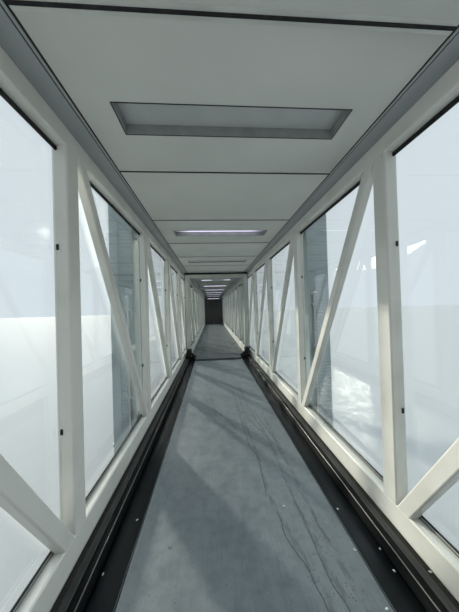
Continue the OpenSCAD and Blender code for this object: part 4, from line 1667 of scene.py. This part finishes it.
def tyre_pieces(middle, radius):
    """Tyre walls, and two rows of lugs that stand half a step apart."""
    half = TYRE_HALF
    bead = 0.276
    shoulder = 0.03
    side = [
        (half - 0.01, bead), (half, bead + 0.03), (half, radius - 0.1), (half - 0.012, radius - 0.05),
        (half - shoulder, radius - 0.018), (half - 2 * shoulder, radius - 0.008),
    ]
    left = [(-x, r) for x, r in side]
    tyre = turned(left + [(0.0, radius - 0.006)] + side[::-1] + left[:1], 96)
    spots = both_sides(middle, COLUMN_Y, radius)
    smooth_piece(set_down(tyre, spots), "tyre_walls", "outer_tunnel", "tyre_rubber", 40, ("tyres",))
    lugs = []
    for side_x in (-middle, middle):
        for near, far in zip(around(40, radius - 0.012), around(40, radius - 0.012, 0.5)):
            lugs += [(side_x - 0.078, *near), (side_x + 0.078, *far)]
    places = [(x, COLUMN_Y + along, radius + up) for x, along, up, _ in lugs]
    turns = [(-angle, 0.0, 0.0) for _, _, _, angle in lugs]
    unit = block_unit(0.13, 0.045, 0.022, 0.004)
    repeated("tyre_lugs", "outer_tunnel", "tyre_rubber", unit, places, turns)


def wheel_pieces(middle, radius):
    """Dished rims with their inner flanges and nuts."""
    rim = turned(
        [(0.118, 0.0), (0.172, 0.0), (0.172, 0.034), (0.166, 0.05), (0.134, 0.056), (0.131, 0.076),
         (0.136, 0.082), (0.136, 0.128), (0.125, 0.14), (0.123, 0.225), (0.13, 0.243), (0.146, 0.254),
         (0.156, 0.262), (0.158, 0.2745), (0.118, 0.2745), (0.118, 0.0)],
        64,
    )
    spots = both_sides(middle, COLUMN_Y, radius, True)
    smooth_piece(set_down(rim, spots), "wheel_rims", "outer_tunnel", "white_enamel", 30)
    back = turned(
        [(-0.118, 0.09), (-0.13, 0.095), (-0.13, 0.24), (-0.15, 0.262), (-0.156, 0.2745),
         (-0.118, 0.2745), (-0.118, 0.09)],
        64,
    )
    smooth_piece(set_down(back, spots), "wheel_backs", "outer_tunnel", "white_enamel", 30)
    nuts = []
    for side, way in SIDES:
        x = side * (middle + 0.136)
        nuts += [(x, COLUMN_Y + along, radius + up, way) for along, up, _ in around(10, 0.105)]
    bolts("wheel_nuts", "outer_tunnel", 0.024, nuts)


class BRIDGE_OT_wheels(bpy.types.Operator):
    """Axle beam with its wheels and tyres"""

    bl_idname = "bridge.wheels"
    bl_label = "Wheels"

    def execute(self, context):
        rounded_node("axle_beam", "grey_enamel", 0.01)
        low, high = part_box("tyres")
        radius = (high.z - low.z) / 2
        middle = high.x - TYRE_HALF
        tyre_pieces(middle, radius)
        wheel_pieces(middle, radius)
        return {"FINISHED"}


def pedestal_bands():
    """Weld bead at the pedestal's foot and three bands around its tube."""
    tube = 0.45
    rings = turned([(0.038, 0.452), (0.038, 0.466), (0.045, 0.463), (0.052, 0.452), (0.038, 0.452)], 96)
    cut = 0.002
    for z, proud, tall in ((1.28, 0.005, 0.05), (2.48, 0.005, 0.05), (3.655, 0.03, 0.045)):
        rim = tube + proud
        band = turned(
            [(z, tube - 0.001), (z, rim - cut), (z + cut, rim), (z + tall - cut, rim),
             (z + tall, rim - cut), (z + tall, tube - 0.001), (z, tube - 0.001)],
            96,
        )
        merge(rings, band)
    bmesh.ops.transform(rings, verts=rings.verts, matrix=UPRIGHT)
    smooth_piece(rings, "pedestal_bands", "fixed_tunnel", "grey_enamel", 30)


def pedestal_door():
    """Curved inspection door with a raised panel, two hinges and a handle."""
    door = bmesh.new()
    # Low, high, inner and outer radius, and half the angle that the plate spans
    for low, high, near, far, spread in ((1.38, 2.2, 0.449, 0.456, 0.46), (1.41, 2.17, 0.4565, 0.462, 0.42)):
        rows = []
        for k in range(17):
            angle = -math.pi / 2 - spread + 2 * spread * k / 16
            x, y = math.cos(angle), math.sin(angle)
            corners = ((near, low), (far, low), (far, high), (near, high))
            rows.append([door.verts.new((x * r, y * r, z)) for r, z in corners])
        for row, after in zip(rows, rows[1:]):
            joined_faces(door, row, after)
        for end in (rows[0], rows[-1]):
            door.faces.new(end)
    smooth_piece(door, "pedestal_door", "fixed_tunnel", "grey_enamel", 30)
    hinge = turned([(-0.05, 0.0), (-0.05, 0.009), (0.05, 0.009), (0.05, 0.0)], 16)
    bmesh.ops.transform(hinge, verts=hinge.verts, matrix=UPRIGHT)
    hinge_r = 0.462
    hinge_turn = 0.44
    x, y = -hinge_r * math.sin(hinge_turn), -hinge_r * math.cos(hinge_turn)
    spots = [(x, y, z, False) for z in (1.55, 2.03)]
    smooth_piece(set_down(hinge, spots), "door_hinges", "fixed_tunnel", "machined_steel", 30)
    stubs = [((0.145, -0.465, z), (0.16, -0.44, z + 0.015)) for z in (1.72, 1.85)]
    bars(
        "door_handle", "fixed_tunnel", "machined_steel", 0.003,
        stubs + [((0.145, -0.472, 1.71), (0.16, -0.462, 1.875))],
    )


class BRIDGE_OT_pedestal(bpy.types.Operator):
    """Pedestal with its head, bands, door and anchor nuts"""

    bl_idname = "bridge.pedestal"
    bl_label = "Pedestal"

    def execute(self, context):
        dress("pedestal", "grey_enamel")
        rounded_node("pedestal_head", "grey_enamel", context.scene.bridge_sizes.frame_round)
        nuts = [(x, y, 0.04, "+z") for y, x, _ in around(8, 0.66)]
        bolts("anchor_nuts", "fixed_tunnel", 0.05, nuts)
        pedestal_bands()
        pedestal_door()
        spots = []
        for side, way in SIDES:
            for y in (-0.28, -0.14, 0.0, 0.14, 0.28):
                spots += [(side * 0.89, y, z, way) for z in (3.75, 3.94)]
        bolts("head_bolts", "fixed_tunnel", 0.024, spots)
        return {"FINISHED"}


def stage_floor(scene):
    """A wide pale floor under the bridge."""
    shape = bmesh.new()
    bmesh.ops.create_grid(shape, x_segments=1, y_segments=1, size=400)
    ground = bpy.data.objects.new("stage_floor", mesh_of(shape, "stage_floor"))
    scene.collection.objects.link(ground)
    material, _, surface, _ = new_finish("pale_stage_floor")
    surface.inputs["Base Color"].default_value = linear("#a8aaac")
    surface.inputs["Roughness"].default_value = 0.9
    surface.inputs["Specular IOR Level"].default_value = 0.05
    ground.data.materials.append(material)


def greater(tree, first, second):
    """The greater of two values."""
    return add_node(tree, "ShaderNodeMath", {0: first, 1: second}, operation="MAXIMUM").outputs[0]


def soft_daylight(scene):
    """A pale sky that is seen, mirrored and looked through at full strength, and lights at half of it."""
    world = bpy.data.worlds.new("soft_daylight")
    world.use_nodes = True
    tree = world.node_tree
    tree.nodes.clear()
    rays = add_node(tree, "ShaderNodeLightPath").outputs
    seen = greater(tree, rays["Is Camera Ray"], rays["Is Glossy Ray"])
    clear = greater(tree, seen, rays["Is Transmission Ray"])
    light = add_node(tree, "ShaderNodeBackground", {"Color": linear("#e8f0f8"), "Strength": 0.5})
    pale = add_node(tree, "ShaderNodeBackground", {"Color": linear("#dfe6ee"), "Strength": 1.0})
    mix = add_node(
        tree, "ShaderNodeMixShader",
        {0: clear, 1: light.outputs["Background"], 2: pale.outputs["Background"]},
    )
    add_node(tree, "ShaderNodeOutputWorld", {"Surface": mix.outputs["Shader"]})
    scene.world = world


# Name, power, width of the disc in degrees, degrees to the left of +y, degrees up, and tint of each light
LIGHTS = (
    ("low_sun", 4.4, 2.0, 32.7, 15.0, (1.0, 0.93, 0.82)),
    ("sky_glow", 2.1, 30.0, 32.7, 22.0, (1.0, 0.95, 0.87)),
    ("soft_fill", 0.9, 40.0, -60.0, 30.0, (0.88, 0.95, 1.0)),
    ("left_sky", 1.2, 70.0, 90.0, 52.0, (0.86, 0.94, 1.0)),
    ("right_sky", 1.2, 70.0, -90.0, 52.0, (0.76, 0.88, 1.0)),
)


def lights(scene):
    """The low sun with its glow, a soft fill and the sky from both sides, as sun lamps 60 m out."""
    distance = 60
    for label, power, spread, left, up, tint in LIGHTS:
        sun = bpy.data.lights.new(label, "SUN")
        sun.energy = power
        sun.angle = math.radians(spread)
        sun.color = tint
        lamp = bpy.data.objects.new(label, sun)
        side = math.radians(left)
        height = math.radians(up)
        towards = Vector(
            (-math.sin(side) * math.cos(height), math.cos(side) * math.cos(height), math.sin(height))
        )
        lamp.rotation_euler = towards.to_track_quat("Z", "Y").to_euler()
        lamp.location = towards * distance
        scene.collection.objects.link(lamp)


def passage_view(scene):
    """The camera inside the outer tunnel, which looks along the passage."""
    view = bpy.data.cameras.new("passage_view")
    view.sensor_width = 36.0
    view.lens = 14.2526
    view.clip_start = 0.02
    view.clip_end = 1500.0
    camera = bpy.data.objects.new("passage_view", view)
    yaw, pitch, roll = (math.radians(angle) for angle in (4.1801, 0.5158, 1.6676))
    ahead = Vector((math.sin(yaw) * math.cos(pitch), math.cos(yaw) * math.cos(pitch), math.sin(pitch)))
    across = Vector((math.cos(yaw), -math.sin(yaw), 0.0))
    above = across.cross(ahead)
    right = across * math.cos(roll) - above * math.sin(roll)
    top = across * math.sin(roll) + above * math.cos(roll)
    placed = Matrix((right, top, -ahead)).transposed().to_4x4()
    placed.translation = Vector(EYE)
    camera.matrix_world = placed
    scene.collection.objects.link(camera)
    scene.camera = camera


class BRIDGE_OT_stage(bpy.types.Operator):
    """Pale floor, daylight and the camera"""

    bl_idname = "bridge.stage"
    bl_label = "Stage"

    def execute(self, context):
        scene = context.scene
        scene.view_settings.view_transform = "Standard"
        stage_floor(scene)
        soft_daylight(scene)
        lights(scene)
        passage_view(scene)
        return {"FINISHED"}


STEPS = (
    BRIDGE_OT_wall_tubes, BRIDGE_OT_frames, BRIDGE_OT_glazing, BRIDGE_OT_ceilings, BRIDGE_OT_lamps,
    BRIDGE_OT_floors, BRIDGE_OT_tracks, BRIDGE_OT_rollers, BRIDGE_OT_ramp, BRIDGE_OT_doorway,
    BRIDGE_OT_roofs, BRIDGE_OT_drive, BRIDGE_OT_wheels, BRIDGE_OT_pedestal, BRIDGE_OT_stage,
)


class BRIDGE_PT_sidebar(bpy.types.Panel):
    """Lists the bridge's colours, sizes and building steps"""

    bl_idname = "BRIDGE_PT_sidebar"
    bl_label = "Jet bridge"
    bl_space_type = "VIEW_3D"
    bl_region_type = "UI"
    bl_category = "Jet bridge"

    def draw(self, context):
        for group in (context.scene.bridge_colours, context.scene.bridge_sizes):
            for key in group.bl_rna.properties.keys():
                if key not in ("rna_type", "name"):
                    self.layout.prop(group, key)
        for step in STEPS:
            self.layout.operator(step.bl_idname)


CLASSES = (BridgeColours, BridgeSizes) + STEPS + (BRIDGE_PT_sidebar,)


def register():
    for each in CLASSES:
        bpy.utils.register_class(each)
    bpy.types.Scene.bridge_colours = bpy.props.PointerProperty(type=BridgeColours)
    bpy.types.Scene.bridge_sizes = bpy.props.PointerProperty(type=BridgeSizes)


def unregister():
    del bpy.types.Scene.bridge_sizes
    del bpy.types.Scene.bridge_colours
    for each in reversed(CLASSES):
        bpy.utils.unregister_class(each)


def main():
    """Builds every piece in order."""
    register()
    for step in STEPS:
        group, name = step.bl_idname.split(".")
        getattr(getattr(bpy.ops, group), name)()


if __name__ == "__main__":
    main()
